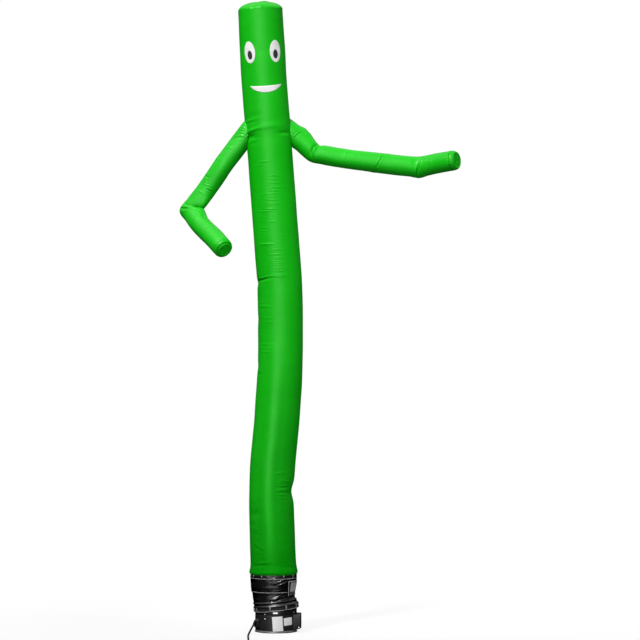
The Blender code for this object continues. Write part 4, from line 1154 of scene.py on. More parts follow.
def body_frame(heights):
    """Sideways place of the tube's axis, and its lean as x and z."""
    low = np.maximum(heights - LEAN_STEP, BODY_STATIONS[0][0])
    high = np.minimum(heights + LEAN_STEP, BODY_TOP)
    across = smooth_values(BODY_STATIONS, high, 1) - smooth_values(BODY_STATIONS, low, 1)
    length = np.hypot(across, high - low)
    return smooth_values(BODY_STATIONS, heights, 1), across / length, (high - low) / length


def body_points(heights, angles, off=0.0):
    """Places on the leaning tube, or a distance off it."""
    heights, angles = np.broadcast_arrays(np.asarray(heights, float), np.asarray(angles, float))
    x, lean_x, lean_z = body_frame(heights)
    radius = smooth_values(BODY_STATIONS, heights, 2) + crease_depth(BODY_FOLDS, heights, angles) + off
    ends = np.clip(np.minimum(heights - BUCKLES_FROM, BODY_TOP - heights) / 0.1, 0.0, 1.0)
    radius = radius + crease_depth(BODY_FINE, heights, angles) + crest_depth(heights, angles)
    radius = radius + soft_buckles(heights, angles) * ends
    turn = np.radians(angles)
    side, front = np.sin(turn) * radius, -np.cos(turn) * radius
    return np.stack([x + lean_z * side, front, heights - lean_x * side], axis=-1)


def body_rings():
    """Heights of the body's rings."""
    heights = [BODY_STATIONS[0][0]]
    for top, pitch in RING_PITCHES:
        steps = max(1, round((top - heights[-1]) / pitch))
        heights += [heights[-1] + (top - heights[-1]) * (k + 1) / steps for k in range(steps)]
    return np.array(heights)


def make_body(looks):
    """The standing tube."""
    heights = body_rings()[:, None]
    angles = full_turn(BODY_COLUMNS)[None, :]
    uvs = cloth_uvs(np.radians(angles) * TUBE_RADIUS, heights)
    body = grid_piece("body_cloth", body_points(heights, angles), uvs, looks["body"])
    stand_for(body, "green_nylon", "body_tube")


def make_head_cap(looks):
    """A domed round, gathered where it is sewn to the tube, with a small tuft off its middle."""
    share = np.linspace(0.0, 1.0, 34)[:, None]
    angles = np.radians(full_turn(BODY_COLUMNS))[None, :]
    radius = float(smooth_values(BODY_STATIONS, BODY_TOP, 2))
    turn = share * math.pi / 2
    size = radius * np.cos(turn)
    pucker = np.sin(angles * 23) + 0.6 * np.sin(angles * 37 + 1.0) + 0.8 * np.sin(angles * 11 + 2.0)
    gather = 0.002 * pucker * bell(share, 0.1, 0.14)
    lobes = 0.0035 * np.sin(angles * 5 + 0.8) * np.sin(np.pi * share)
    off_x, off_y = size * np.sin(angles) - TUFT_PLACE[0], -size * np.cos(angles) - TUFT_PLACE[1]
    tuft = TUFT_RISE * np.exp(-(off_x ** 2 + off_y ** 2) / TUFT_REACH ** 2)
    rise = CAP_RISE * np.sin(turn) + lobes * 0.6 + tuft * (share > 0.2)
    size = size + gather + lobes * np.cos(turn)
    side, front = np.sin(angles) * size, -np.cos(angles) * size
    x, lean_x, lean_z = (float(v) for v in body_frame(np.array(BODY_TOP)))
    points = np.stack([x + lean_z * side + lean_x * rise, front + 0 * rise,
                       BODY_TOP - lean_x * side + lean_z * rise], axis=-1)
    uvs = np.stack([size * np.sin(angles), size * np.cos(angles)], axis=-1)
    cap = grid_piece("head_cap_cloth", points, uvs, looks["body"])
    stand_for(cap, "green_nylon", "head_cap")


# Arms

def beside_kink(row, other):
    """A ring close to a kink, on the way to the next row of the table."""
    centre = Vector(row[:3])
    away = Vector(other[:3]) - centre
    share = KINK_REACH / away.length
    wide = other[3] + (min(row[3], other[3]) - other[3]) * (1 - share) / 2
    deep = other[4] + (row[4] - other[4]) * (1 - share) / 2
    return centre + away * share, wide, deep


def arm_rows(rows):
    """The table's rings, with one more close before and after each kink."""
    full = []
    for k, row in enumerate(rows):
        ring = (Vector(row[:3]), row[3], row[4])
        if row[5]:
            full += [beside_kink(row, rows[k - 1]), ring, beside_kink(row, rows[k + 1])]
        else:
            full.append(ring)
    return full


def bend_plane(rows):
    """Normal of the plane in which the arm's first kink lies."""
    for before, row, after in zip(rows, rows[1:], rows[2:]):
        if row[5]:
            came = Vector(row[:3]) - Vector(before[:3])
            goes = Vector(after[:3]) - Vector(row[:3])
            return came.cross(goes).normalized()
    return Vector((0, 1, 0))


def clear_of_body(point):
    """Distance from a point to the part's own tube."""
    height = point.z
    for _ in range(4):
        x, lean_x, lean_z = (float(v) for v in body_frame(np.array(height)))
        axis, lean = Vector((x, 0.0, height)), Vector((lean_x, 0.0, lean_z))
        height += (point - axis).dot(lean) * lean.z
    x = float(smooth_values(BODY_STATIONS, height, 1))
    out = point - Vector((x, 0.0, height))
    angle = math.degrees(math.atan2(out.x, -out.y))
    radius = float(smooth_values(BODY_STATIONS, height, 2) + crease_depth(BODY_FOLDS, height, angle))
    return out.length - radius


def slide_to_body(point, towards):
    """Move a point along a direction until it meets the body's face."""
    near, far = 0.0, 0.4
    while clear_of_body(point + towards * far) > 0 and far < 1.0:
        far += 0.1
    for _ in range(24):
        middle = (near + far) / 2
        if clear_of_body(point + towards * middle) > ROOT_GAP:
            near = middle
        else:
            far = middle
    return point + towards * near


def arm_ring_points(rows, root):
    """The part's rings from the body out, their columns starting at the back of the arm's root."""
    normal = bend_plane(rows)
    full = arm_rows(rows)
    centres = [centre for centre, _, _ in full]
    rings, spins = [], []
    for k, (centre, wide, deep) in enumerate(full):
        came = (centre - centres[k - 1]).normalized() if k else (centre - Vector(root)).normalized()
        goes = (centres[k + 1] - centre).normalized() if k + 1 < len(full) else came
        along = (came + goes).normalized()
        across = (normal - along * normal.dot(along)).normalized()
        in_plane = across.cross(along)
        if not spins:
            front = (Vector((0, -1, 0)) - along * Vector((0, -1, 0)).dot(along)).normalized()
            up = front.cross(along)
            up = up if up.z > 0 else -up
            for turn in np.radians(full_turn(ARM_COLUMNS)):
                aim = front * math.cos(turn) + up * math.sin(turn)
                spins.append(math.atan2(aim.dot(across) / deep, aim.dot(in_plane) / wide))
        rings.append([centre + in_plane * wide * math.cos(spin) + across * deep * math.sin(spin)
                      for spin in spins])
    towards = (Vector(root) - centres[0]).normalized()
    seat = [slide_to_body(point, towards) for point in rings[0]]
    middle = [a.lerp(b, 0.5) for a, b in zip(seat, rings[0])]
    return np.array([[tuple(p) for p in ring] for ring in [seat, middle] + rings])


def refine_rings(rings, pitch):
    """Rings a pitch apart on smooth curves through the given ones, and the length along their middles."""
    count = len(rings)
    padded = np.concatenate([[2 * rings[0] - rings[1]], rings, [2 * rings[-1] - rings[-2]]])
    middles = rings[:, :-1].mean(axis=1)
    fine, along = [], []
    walked = 0.0
    for k in range(count - 1):
        p0, p1, p2, p3 = padded[k:k + 4]
        length = float(np.linalg.norm(middles[k + 1] - middles[k]))
        steps = max(2, round(length / pitch))
        c0, c1, c2 = (np.maximum(np.linalg.norm(b - a, axis=-1, keepdims=True), 1e-4)
                      for a, b in ((p0, p1), (p1, p2), (p2, p3)))
        m1 = c1 * ((p1 - p0) / c0 * c1 + (p2 - p1) / c1 * c0) / (c0 + c1)
        m2 = c1 * ((p2 - p1) / c1 * c2 + (p3 - p2) / c2 * c1) / (c1 + c2)
        for step in range(steps + (k == count - 2)):
            start, end, leaving, arriving = curve_shares(step / steps)
            fine.append(p1 * start + m1 * leaving + p2 * end + m2 * arriving)
            along.append(walked + length * (step / steps))
        walked += length
    return np.array(fine), np.array(along)


def gather_depth(gathers, along, angles):
    """Lengthwise puckers beside each gathered seam, and the seam's own line."""
    total = np.zeros(np.broadcast(along, angles).shape)
    turn = np.radians(angles)
    for middle, depth, half, count, slant in gathers:
        off = (along - middle - slant * angles) / half
        puckers = np.sin(count * turn) + 0.5 * np.sin(count * 1.63 * turn + 1.0)
        total = total + depth * puckers * np.exp(-off * off) - depth * np.exp(-(off * 4) ** 2)
    return total


def make_arm(side, rows, root, creases, gathers, looks):
    """An arm from the body's face to its rim, drawn in where its end is turned in."""
    rings, along = refine_rings(arm_ring_points(rows, root), ARM_PITCH)
    angles = full_turn(ARM_COLUMNS)[None, :]
    along = along[:, None]
    out = rings - rings[:, :-1].mean(axis=1)[:, None, :]
    out /= np.linalg.norm(out, axis=-1, keepdims=True)
    left = along[-1] - along
    seated = np.clip(along / ROOT_CALM, 0.0, 1.0)
    end = np.clip(left / RIM_CALM, 0.0, 1.0)
    depth = crease_depth(creases, along, angles) * seated + gather_depth(gathers, along, angles)
    depth = (depth + soft_buckles(along * 1.6, angles)) * np.minimum(seated + 0.35, 1.0) * end
    depth = depth - RIM_DRAWN_IN * np.clip(1 - left / HAND_SEAM, 0.0, 1.0) ** 1.5
    depth = depth - 0.003 * bell(left, HAND_SEAM, 0.005)
    points = rings + out * depth[..., None]
    arm = grid_piece("arm_%s_cloth" % side, points, cloth_uvs(np.radians(angles) * ARM_ROUND, along),
                     looks["arm_" + side])
    stand_for(arm, "green_nylon", "arm_" + side)
    turned_in_painted_shade(arm, points, looks["body"])
    make_hand_cap(side, points, looks)


def turned_in_painted_shade(arm, points, look):
    """The last of the sleeve, where the cloth is turned in: it takes the body's deeper green, without the
    arms' paler painted light, as painted shade.
    """
    rim = points[-1, :-1].mean(axis=0)
    aim = rim - points[-8, :-1].mean(axis=0)
    aim /= np.linalg.norm(aim)
    arm.data.materials.append(look)
    for face in arm.data.polygons:
        if (np.array(face.center) - rim) @ aim > -HAND_SEAM:
            face.material_index = 1


def make_hand_cap(side, points, looks):
    """A low domed round sewn in the arm's end, drawn in a little at its seam."""
    rim, before = points[-1], points[-4]
    centre = rim[:-1].mean(axis=0)
    along = centre - before[:-1].mean(axis=0)
    along /= np.linalg.norm(along)
    share = np.array(CAP_SHARES)[:, None]
    angles = np.radians(full_turn(ARM_COLUMNS))[None, :]
    ring, reach, height = CAP_RINGS[side]
    rise = HAND_RISE * np.sqrt(np.maximum(0.0, 1 - share ** 2.2)) + HAIR_GAP
    pucker = 0.0014 * (np.sin(angles * 17) + 0.6 * np.sin(angles * 29 + 1.0)) * bell(share, ring, 0.1)
    dimple = -0.003 * bell(share, 0.0, 0.2) + 0.0012 * np.sin(angles * 3 + 0.5) * (1 - share) * share * 4
    lift = rise + pucker + dimple + height * bell(share, ring, reach)
    grid = centre + (rim[None] - centre) * share[..., None] + along * lift[..., None]
    uvs = np.stack([share * ARM_ROUND * np.sin(angles), share * ARM_ROUND * np.cos(angles)], axis=-1)
    cap = grid_piece("hand_cap_%s_cloth" % side, grid, uvs, looks["body"])
    stand_for(cap, "green_nylon", "hand_cap_" + side)


# Face

def patch_lift(off, edge, seam, half, depth):
    """A patch's outer side off the tube: lower at its edge, with a line of stitching pressed in."""
    return off + PATCH_SWELL * np.clip(edge / PATCH_EDGE, 0.0, 1.0) - depth * bell(edge, seam, half)


def make_oval(name, node, angle, height, size, off, look, slot_name, tilt):
    """An oval patch with a turned edge and a line of stitching pressed in near it."""
    shares = np.array([0.0, 0.3, 0.6, 0.78, 0.86, 0.9, 0.94, 0.975, 1.0])[:, None]
    turn = np.linspace(-math.pi, math.pi, 73)[None, :]
    sideways = shares * size[0] / 2 * np.sin(turn)
    upward = shares * size[1] / 2 * np.cos(turn)
    stitches = 0.6 + 0.4 * np.sin(turn * 41)
    lift = patch_lift(off, (1 - shares) * size[0] / 2, 0.0065, 0.0022, 0.0007 * stitches)
    lean = math.radians(tilt)
    across = sideways * math.cos(lean) - upward * math.sin(lean)
    along = upward * math.cos(lean) + sideways * math.sin(lean)
    spots = body_points(height + along, angle + np.degrees(across / TUBE_RADIUS), lift)
    uvs = np.stack([across, along], axis=-1)
    patch = grid_piece(name, spots[::-1], uvs[::-1], look, thick=PATCH_THICK)
    stand_for(patch, slot_name, node)


def make_mouth(looks):
    """A smile: level corners, a lower edge that hangs deeper than the upper one."""
    t = np.linspace(-0.985, 0.985, 72)[None, :]
    r = np.linspace(0.0, 1.0, 12)[:, None]
    angles = MOUTH_FROM + (MOUTH_TO - MOUTH_FROM) * (t + 1) / 2
    belly = 1 - t * t
    upper = MOUTH_CORNER - MOUTH_TOP_SAG * belly
    lower = MOUTH_CORNER - MOUTH_DEPTH * belly ** 0.8
    heights = lower + (upper - lower) * r
    edge = np.minimum(r, 1 - r) * (upper - lower)
    points = body_points(heights, angles + 0 * r, patch_lift(PATCH_OFF, edge, 0.006, 0.002, 0.0006))
    uvs = cloth_uvs(np.radians(angles) * TUBE_RADIUS, heights)
    mouth = grid_piece("mouth_cloth", points, uvs, looks["eye"], thick=PATCH_THICK)
    stand_for(mouth, "white_cloth", "mouth")


def make_face(looks):
    """Two eyes with a pupil on each, and the mouth."""
    for side, angle, inward, tilt in EYES:
        make_oval("eye_%s_cloth" % side, "eye_" + side, angle, EYE_HEIGHT, EYE_SIZE, PATCH_OFF,
                  looks["eye"], "white_cloth", tilt)
        make_oval("pupil_%s_cloth" % side, "pupil_" + side, angle + inward, EYE_HEIGHT - PUPIL_DROP,
                  PUPIL_SIZE, PUPIL_OFF, looks["pupil"], "dark_cloth", tilt * 1.3)
    make_mouth(looks)


# Sleeve

def sleeve_points(rows, creases, heights, angles, off, fine):
    """Places round a sleeve's axis from its table and creases, their heights still to be given."""
    heights, angles = np.broadcast_arrays(np.asarray(heights, float), np.asarray(angles, float))
    radius = smooth_values(rows, heights, 2) + off
    if fine:
        radius = radius + crease_depth(creases, heights, angles)
    points = around(angles) * radius[..., None]
    points[..., 0] += smooth_values(rows, heights, 1)
    return points, heights


def upper_points(heights, angles, off, fine=True):
    """Places on the upper panel."""
    points, heights = sleeve_points(SLEEVE_UPPER, UPPER_CREASES, heights, angles, off, fine)
    points[..., 2] = heights
    return points


def lower_points(rises, angles, off, fine=True):
    """Places on the lower panel, whose hem is tilted and whose top is level."""
    points, rises = sleeve_points(SLEEVE_LOWER, LOWER_CREASES, rises, angles, off, fine)
    top = SLEEVE_LOWER[-1][0]
    tilt = HEM_TILT * np.minimum(1.0, (top - rises) / (top - HEM_RISE))
    points[..., 2] = HEM_HEIGHT + rises + tilt * points[..., 0]
    return points


def sleeve_uvs(heights, angles):
    """The sleeve's own metres round it and up it."""
    return cloth_uvs(np.radians(angles) * SLEEVE_ROUND, heights)


def make_sleeve(looks):
    """The two panels of the black sleeve, and the binding on its upper edge."""
    angles = full_turn(SLEEVE_COLUMNS)[None, :]
    turn = np.radians(angles)
    foot, top = SLEEVE_UPPER[0][0], SLEEVE_UPPER[-1][0]
    heights = np.linspace(foot + HAIR_GAP, top, 60)[:, None]
    fade = np.clip((heights - foot) / 0.02, 0, 1) * np.clip((0.575 - heights) / 0.02, 0, 1)
    puckers = 0.0003 * np.sin(turn * 46 + 8 * heights) * fade
    upper = grid_piece("sleeve_upper_cloth", upper_points(heights, angles, puckers),
                       sleeve_uvs(heights, angles), looks["vinyl"], thick=CLOTH)
    stand_for(upper, "black_vinyl", "sleeve_upper")

    rises = np.linspace(0.0, SLEEVE_LOWER[-1][0] - HAIR_GAP, 96)[:, None]
    gather = (np.sin(turn * 38) + 0.6 * np.sin(turn * 61 + 1.0)) * bell(rises, 0.068, 0.016)
    lower = grid_piece("sleeve_lower_cloth", lower_points(rises, angles, 0.0004 * gather),
                       sleeve_uvs(rises, angles), looks["vinyl"], thick=CLOTH)
    stand_for(lower, "black_vinyl", "sleeve_lower")

    heights = np.linspace(BINDING_FOOT, BINDING_TOP, 14)[:, None]
    edge = np.minimum(heights - BINDING_FOOT, BINDING_TOP - heights)
    swell = (BINDING_OFF - 0.001 * bell(edge, 0.0, 0.004)
             + 0.0007 * np.sin(turn * 52) * bell(edge, 0.006, 0.006))
    binding = grid_piece("sleeve_binding_cloth", upper_points(heights, angles, swell),
                         sleeve_uvs(heights, angles), looks["binding"], thick=0.0014)
    stand_for(binding, "black_vinyl", "sleeve_binding")
    return lower


def make_stitches(name, looks, place, start, end, count, half=STITCH_HALF):
    """Raised stitches end to end on a line; place gives the spot at a share of it and a height off it."""
    mesh = bmesh.new()
    level = (0.0002, 0.0012, 0.0013, 0.0012)
    for k in range(count):
        rings = []
        for part in range(4):
            share = (k + 0.04 + 0.92 * part / 3) / count
            at = start + (end - start) * share
            spot = np.array(place(at, level[part] if part < 3 else 0.0002))
            ahead = np.array(place(start + (end - start) * (share + 0.2 / count), level[part]))
            raised = np.array(place(at, level[part] + 0.001))
            out = (raised - spot) / np.linalg.norm(raised - spot)
            side = np.cross(out, ahead - spot)
            side /= np.linalg.norm(side)
            rings.append([mesh.verts.new(tuple(spot + away))
                          for away in (side * half, out * STITCH_RISE, -side * half)])
        join_rings(mesh, rings)
    thing = from_bmesh(name, mesh, looks["thread"], 50.0)
    stand_for(thing, "black_vinyl")
    return thing


def flap_points(heights, angles, off):
    """Places over the flap, which hangs straight down below the joint; its front edge is upright."""
    first, last, foot, top = CLOSURE_FLAP
    angles = angles + FLAP_LEAN * (top - heights) / (top - foot) * (last - angles) / (last - first)
    points = upper_points(np.maximum(heights, SLEEVE_UPPER[0][0] + 0.0005), angles, off, fine=False)
    points[..., 2] = heights
    return points


def make_stitch_lines(looks):
    """Pale topstitching on the binding, the joint of the two panels and the flap, and on the hem."""
    first, last, foot, top = CLOSURE_FLAP
    make_stitches("stitches_binding", looks,
                  lambda a, off: upper_points(BINDING_FOOT + 0.0035, a, BINDING_OFF + off), -180, 180, 170)
    make_stitches("stitches_joint", looks, lambda a, off: upper_points(0.4035, a, off), 92, 401, 150)
    make_stitches("stitches_flap_top", looks,
                  lambda a, off: upper_points(top - 0.0028, a, 0.004 + off, fine=False),
                  first + 1, last - 1, 24, 2 * STITCH_HALF)
    make_stitches("stitches_flap_side", looks, lambda z, off: flap_points(z, first + 0.9, 0.0046 + off),
                  foot + 0.003, top - 0.005, 18, 2 * STITCH_HALF)
    return [
        make_stitches("stitches_hem_foot", looks, lambda a, off: lower_points(0.0022, a, off),
                      -180, 180, 170),
    ]


def make_glint_tacks(looks):
    """Short pale bar tacks over the edge where the green cloth meets the binding: partly stitching, partly a
    painted highlight for glints there.
    """
    for number, angle in enumerate(GLINT_TACK_ANGLES, 1):
        for row, across in zip("abc", (-0.85, 0.0, 0.85)):
            make_stitches("tack_%d_%s" % (number, row), looks,
                          lambda z, off, at=angle + across: upper_points(z, at, BINDING_OFF + off),
                          *GLINT_TACK_HEIGHTS, 3)


def make_closure(looks):
    """The closing flap, the grey hook panel on it and the tab below the panel."""
    first, last, foot, top = CLOSURE_FLAP
    angles = np.linspace(first, last, 34)[None, :]
    heights = np.linspace(foot, top, 44)[:, None]
    edge = np.minimum(np.minimum((angles - first) * METRES_ROUND, (last - angles) * METRES_ROUND),
                      np.minimum(heights - foot, top - heights))
    off = 0.0034 - 0.0014 * bell(edge, 0.0, 0.003) - 0.0008 * bell(edge, 0.008, 0.0022)
    flap = grid_piece("closure_flap_cloth", flap_points(heights, angles, off), sleeve_uvs(heights, angles),
                      looks["vinyl"], thick=0.0015)
    stand_for(flap, "black_vinyl", "closure_flap")

    first, last, foot, top = CLOSURE_PANEL
    angles = np.linspace(first, last, 67)[None, :]
    heights = np.linspace(foot, top, 30)[:, None]
    ribs = 0.004 * (0.5 + 0.5 * np.cos((angles - first) / (last - first) * 2 * np.pi * 3 + 2.0))
    panel = grid_piece("closure_panel_cloth", upper_points(heights, angles, 0.0052 + ribs, fine=False),
                       sleeve_uvs(heights, angles), looks["panel"], thick=0.0014, smooth_angle=60.0)
    stand_for(panel, "black_vinyl", "closure_panel")

    angles = np.linspace(first - 3.0, last - 12.0, 37)[None, :]
    heights = np.linspace(*TAB_HEIGHTS, 14)[:, None]
    ribs = 0.0016 * (0.5 + 0.5 * np.cos((angles - first) / 6.6 * 2 * np.pi))
    tab = grid_piece("closure_tab_cloth", flap_points(heights, angles, 0.005 + ribs),
                     sleeve_uvs(heights, angles), looks["tab"], thick=0.0012, smooth_angle=60.0)
    stand_for(tab, "black_vinyl")


def strap_off(rises):
    """The strap stands off the hem by as much as keeps it an even band."""
    reach = float(smooth_values(SLEEVE_LOWER, STRAP_RISE[0], 2))
    reach = max(reach, float(smooth_values(SLEEVE_LOWER, STRAP_RISE[1], 2)))
    return reach - smooth_values(SLEEVE_LOWER, rises, 2) + 0.0008


def make_strap(looks):
    """The webbing strap round the hem."""
    angles = full_turn(SLEEVE_COLUMNS)[None, :]
    foot, top = STRAP_RISE
    rises = np.linspace(foot, top, 9)[:, None]
    edge = np.minimum(rises - foot, top - rises)
    crown = 0.0006 * np.clip(edge / 0.004, 0, 1) + 0.0007 * np.sin(np.radians(angles) * 13 + 1.0)
    off = strap_off(rises) + STRAP_THICK + crown - 0.0006
    strap = grid_piece("hem_strap_webbing", lower_points(rises, angles, off, fine=False),
                       sleeve_uvs(rises, angles), looks["webbing"], thick=0.002)
    stand_for(strap, "black_webbing", "hem_strap")
    return strap


def make_belt_loops(looks):
    """Tabs that stand over the strap, each with its ends sewn down on the hem."""
    foot, top = LOOP_RISE
    profile = [(foot, LOOP_SEAT), (foot + 0.0055, LOOP_OVER - 0.001), ((foot + top) / 2 - 0.002, LOOP_OVER),
               (top - 0.0075, LOOP_OVER - 0.0005), (top, LOOP_SEAT)]
    base_radius = float(smooth_values(SLEEVE_LOWER, 0.006, 2))
    half = math.degrees(LOOP_WIDTH / 2 / DRUM_RADIUS)
    rises = np.linspace(foot, top, 19)[:, None]
    across = np.linspace(-1.0, 1.0, 9)[None, :]
    bend = base_radius - smooth_values(SLEEVE_LOWER, rises, 2) + smooth_values(profile, rises, 1) + LOOP_THICK
    edge = 0.0007 * (1 - across ** 6) - 0.0005 * bell(np.abs(across), 0.72, 0.1)
    loops = []
    for number, angle in enumerate(LOOP_ANGLES, 1):
        points = lower_points(rises, angle + half * across, bend + edge - 0.0007, fine=False)
        loop = grid_piece("belt_loop_%d_cloth" % number, points, cloth_uvs(across * LOOP_WIDTH / 2, rises),
                          looks["loop"], thick=LOOP_THICK)
        stand_for(loop, "black_vinyl", "belt_loop_%d" % number)
        loops.append(loop)
    return loops


# Blower

def turned(name, profile, look):
    """A ring or disc turned round the blower's axis from (radius, height) points."""
    rings = []
    for radius, height in profile:
        angles = full_turn(TURNED_SIDES)[:-1] if radius else [0.0]
        rings.append([around(np.array(a)) * radius + np.array([0, 0, height]) for a in angles])
    return lofted(name, rings, look, 30.0, closed=profile[0][0] > 0)


def groove(radius, height, deep=0.0012, half=0.0012):
    """Profile points of a groove in a turned face."""
    return [(radius, height - half), (radius - deep, height - half * 0.4),
            (radius - deep, height + half * 0.4), (radius, height + half)]


def make_blower(looks):
    """The drum: its flanged base, its housing with two grooves, and the open collar on top."""
    rim = DRUM_RADIUS + RIM_OUT
    edge = 0.003
    base = turned("blower_base_moulding", [
        (0, 0), (rim - edge, 0), (rim + 0.0012, 0.001), (rim + 0.003, edge), (rim + 0.003, 0.008),
        (rim + 0.0022, 0.0096), (rim - 0.003, BASE_HEIGHT - 0.0008), (rim - 0.004, BASE_HEIGHT),
        (0, BASE_HEIGHT)], looks["rim"])
    stand_for(base, "black_plastic", "blower_base")

    r = DRUM_RADIUS
    foot = BASE_HEIGHT + SEAM_GAP
    body = [(0, foot), (r - 0.002, foot), (r - 0.002, 0.0215), (r, 0.0235)]
    body += groove(r, 0.0335) + groove(r, 0.158)
    body += [(r, DRUM_TOP - 0.004), (r - 0.0028, DRUM_TOP - 0.0012), (r - 0.004, DRUM_TOP), (0, DRUM_TOP)]
    housing = turned("blower_housing_moulding", body, looks["drum"])
    stand_for(housing, "black_plastic", "blower_housing")

    inner, foot = r - 0.006, DRUM_TOP + SEAM_GAP
    collar = [(inner, foot), (r - 0.004, foot), (r - 0.0012, foot + 0.0016), (r, foot + 0.004)]
    collar += groove(r, 0.212, 0.001, 0.0014)
    collar += [(r, COLLAR_TOP - 0.003), (r - 0.001, COLLAR_TOP - 0.001), (r - 0.003, COLLAR_TOP),
               (inner, COLLAR_TOP)]
    top = turned("blower_collar_moulding", collar, looks["plastic"])
    stand_for(top, "black_plastic", "blower_collar")


def box_outline():
    """The side box from above: against the drum, then round its two outer corners."""
    inner = DRUM_RADIUS + RIM_OUT + HAIR_GAP
    limit = math.degrees(math.asin(BOX_HALF_DEPTH / inner))
    outline = [tuple(p[:2]) for p in around(np.linspace(90 - limit, 90 + limit, 22)) * inner]
    corner = []
    for k in range(9):
        turn = math.pi / 2 * (1 - k / 8)
        corner.append((BOX_OUT - BOX_CORNER * (1 - math.cos(turn)),
                       BOX_HALF_DEPTH - BOX_CORNER * (1 - math.sin(turn))))
    return np.array(outline + corner + [(x, -y) for x, y in reversed(corner)])


def box_underside(x):
    """Height of the box's underside, which rises away from the drum."""
    share = np.maximum(0.0, (x - BOX_FOOT_FROM) / (BOX_OUT - BOX_FOOT_FROM))
    return BOX_FOOT_IN + (BOX_FOOT_OUT - BOX_FOOT_IN) * share


def make_side_box(looks):
    """The box on the drum's +X side, with rounded edges, a lid line and ribs on its front."""
    outline = box_outline()
    away = outline - outline.mean(axis=0)
    away /= np.linalg.norm(away, axis=1, keepdims=True)
    low = box_underside(outline[:, 0])
    top = np.full(len(outline), BOX_TOP)
    levels = [(low + up, inset) for up, inset in ((0.0, 0.004), (0.0012, 0.0012), (0.004, 0.0))]
    levels += [(low + (BOX_TOP - low) * share, inset)
               for share, inset in ((0.55, 0.0), (0.555, 0.0011), (0.565, 0.0011), (0.57, 0.0))]
    levels += [(top + up, inset) for up, inset in ((-0.004, 0.0), (-0.0012, 0.0012), (0.0, 0.004))]
    mesh = bmesh.new()
    rings = [[mesh.verts.new((x, y, z)) for (x, y), z in zip(outline - away * inset, heights)]
             for heights, inset in levels]
    join_rings(mesh, rings, capped=False)
    for ring in (rings[0], rings[-1]):
        centre = mesh.verts.new(sum((v.co for v in ring), Vector()) / len(ring))
        for i in range(len(ring)):
            mesh.faces.new((ring[i], ring[(i + 1) % len(ring)], centre))
    box = from_bmesh("side_box_moulding", mesh, looks["box"], 32.0)
    stand_for(box, "black_plastic", "side_box")

    for number, x in enumerate(BOX_RIBS, 1):
        foot = float(box_underside(np.array(x))) + 0.006
        rib = bar("box_rib_%d" % number, (x, -BOX_HALF_DEPTH - 0.0002, (foot + BOX_TOP - 0.006) / 2),
                  (0.0012, 0.0012, (BOX_TOP - 0.006 - foot) / 2), looks["rim"], 0.0006)
        stand_for(rib, "black_plastic")


def bar(name, centre, halves, look, bevel):
    """A block with rounded edges."""
    mesh = bmesh.new()
    bmesh.ops.create_cube(mesh, size=2.0)
    for vert in mesh.verts:
        vert.co = Vector([c + h * v for c, h, v in zip(centre, halves, vert.co)])
    bmesh.ops.bevel(mesh, geom=list(mesh.edges), offset=bevel, segments=3, affect="EDGES", profile=0.5)
    return from_bmesh(name, mesh, look)


def spun(name, base, aim, profile, look, sides=24):
    """A piece turned round a line from (distance along, radius) points."""
    aim = Vector(aim).normalized()
    helper = Vector((0, 0, 1)) if abs(aim.z) < 0.9 else Vector((1, 0, 0))
    u = aim.cross(helper).normalized()
    v = aim.cross(u)
    rings = []
    for along, radius in profile:
        middle = Vector(base) + aim * along
        turns = [2 * math.pi * i / sides for i in range(sides if radius else 1)]
        rings.append([middle + (u * math.cos(t) + v * math.sin(t)) * radius for t in turns])
    return lofted(name, rings, look)


def drum_patch(name, box, off, thick, corner, look, tilt, columns=33, rows=25):
    """A thin plate on the drum with rounded corners."""
    first, last, foot, top = box
    wide, tall = math.radians(last - first) * DRUM_RADIUS / 2, (top - foot) / 2
    u, v = np.meshgrid(np.linspace(-1, 1, columns), np.linspace(-1, 1, rows))
    along, up = u * wide, v * tall
    over_x, over_y = np.abs(along) - (wide - corner), np.abs(up) - (tall - corner)
    both = (over_x > 0) & (over_y > 0)
    reach = np.hypot(np.maximum(over_x, 0), np.maximum(over_y, 0))
    square = np.maximum(np.maximum(over_x, over_y), 1e-9)
    pull = np.where(both, square / np.maximum(reach, 1e-9), 1.0)
    along = np.where(both, np.sign(along) * (wide - corner + over_x * pull), along)
    up = np.where(both, np.sign(up) * (tall - corner + over_y * pull), up)
    lean = math.tan(math.radians(tilt))
    along, up = along - up * lean, up + along * lean
    edge = np.minimum(1 - np.abs(u), 1 - np.abs(v)) * 0.03
    lift = off + thick - 0.0004 * bell(edge, 0.0, 0.0012)
    points = around((first + last) / 2 + np.degrees(along / DRUM_RADIUS)) * (DRUM_RADIUS + lift)[..., None]
    points[..., 2] = (foot + top) / 2 + up
    return grid_piece(name, points, np.stack([along, up], axis=-1), look, thick=thick, smooth_angle=40.0)


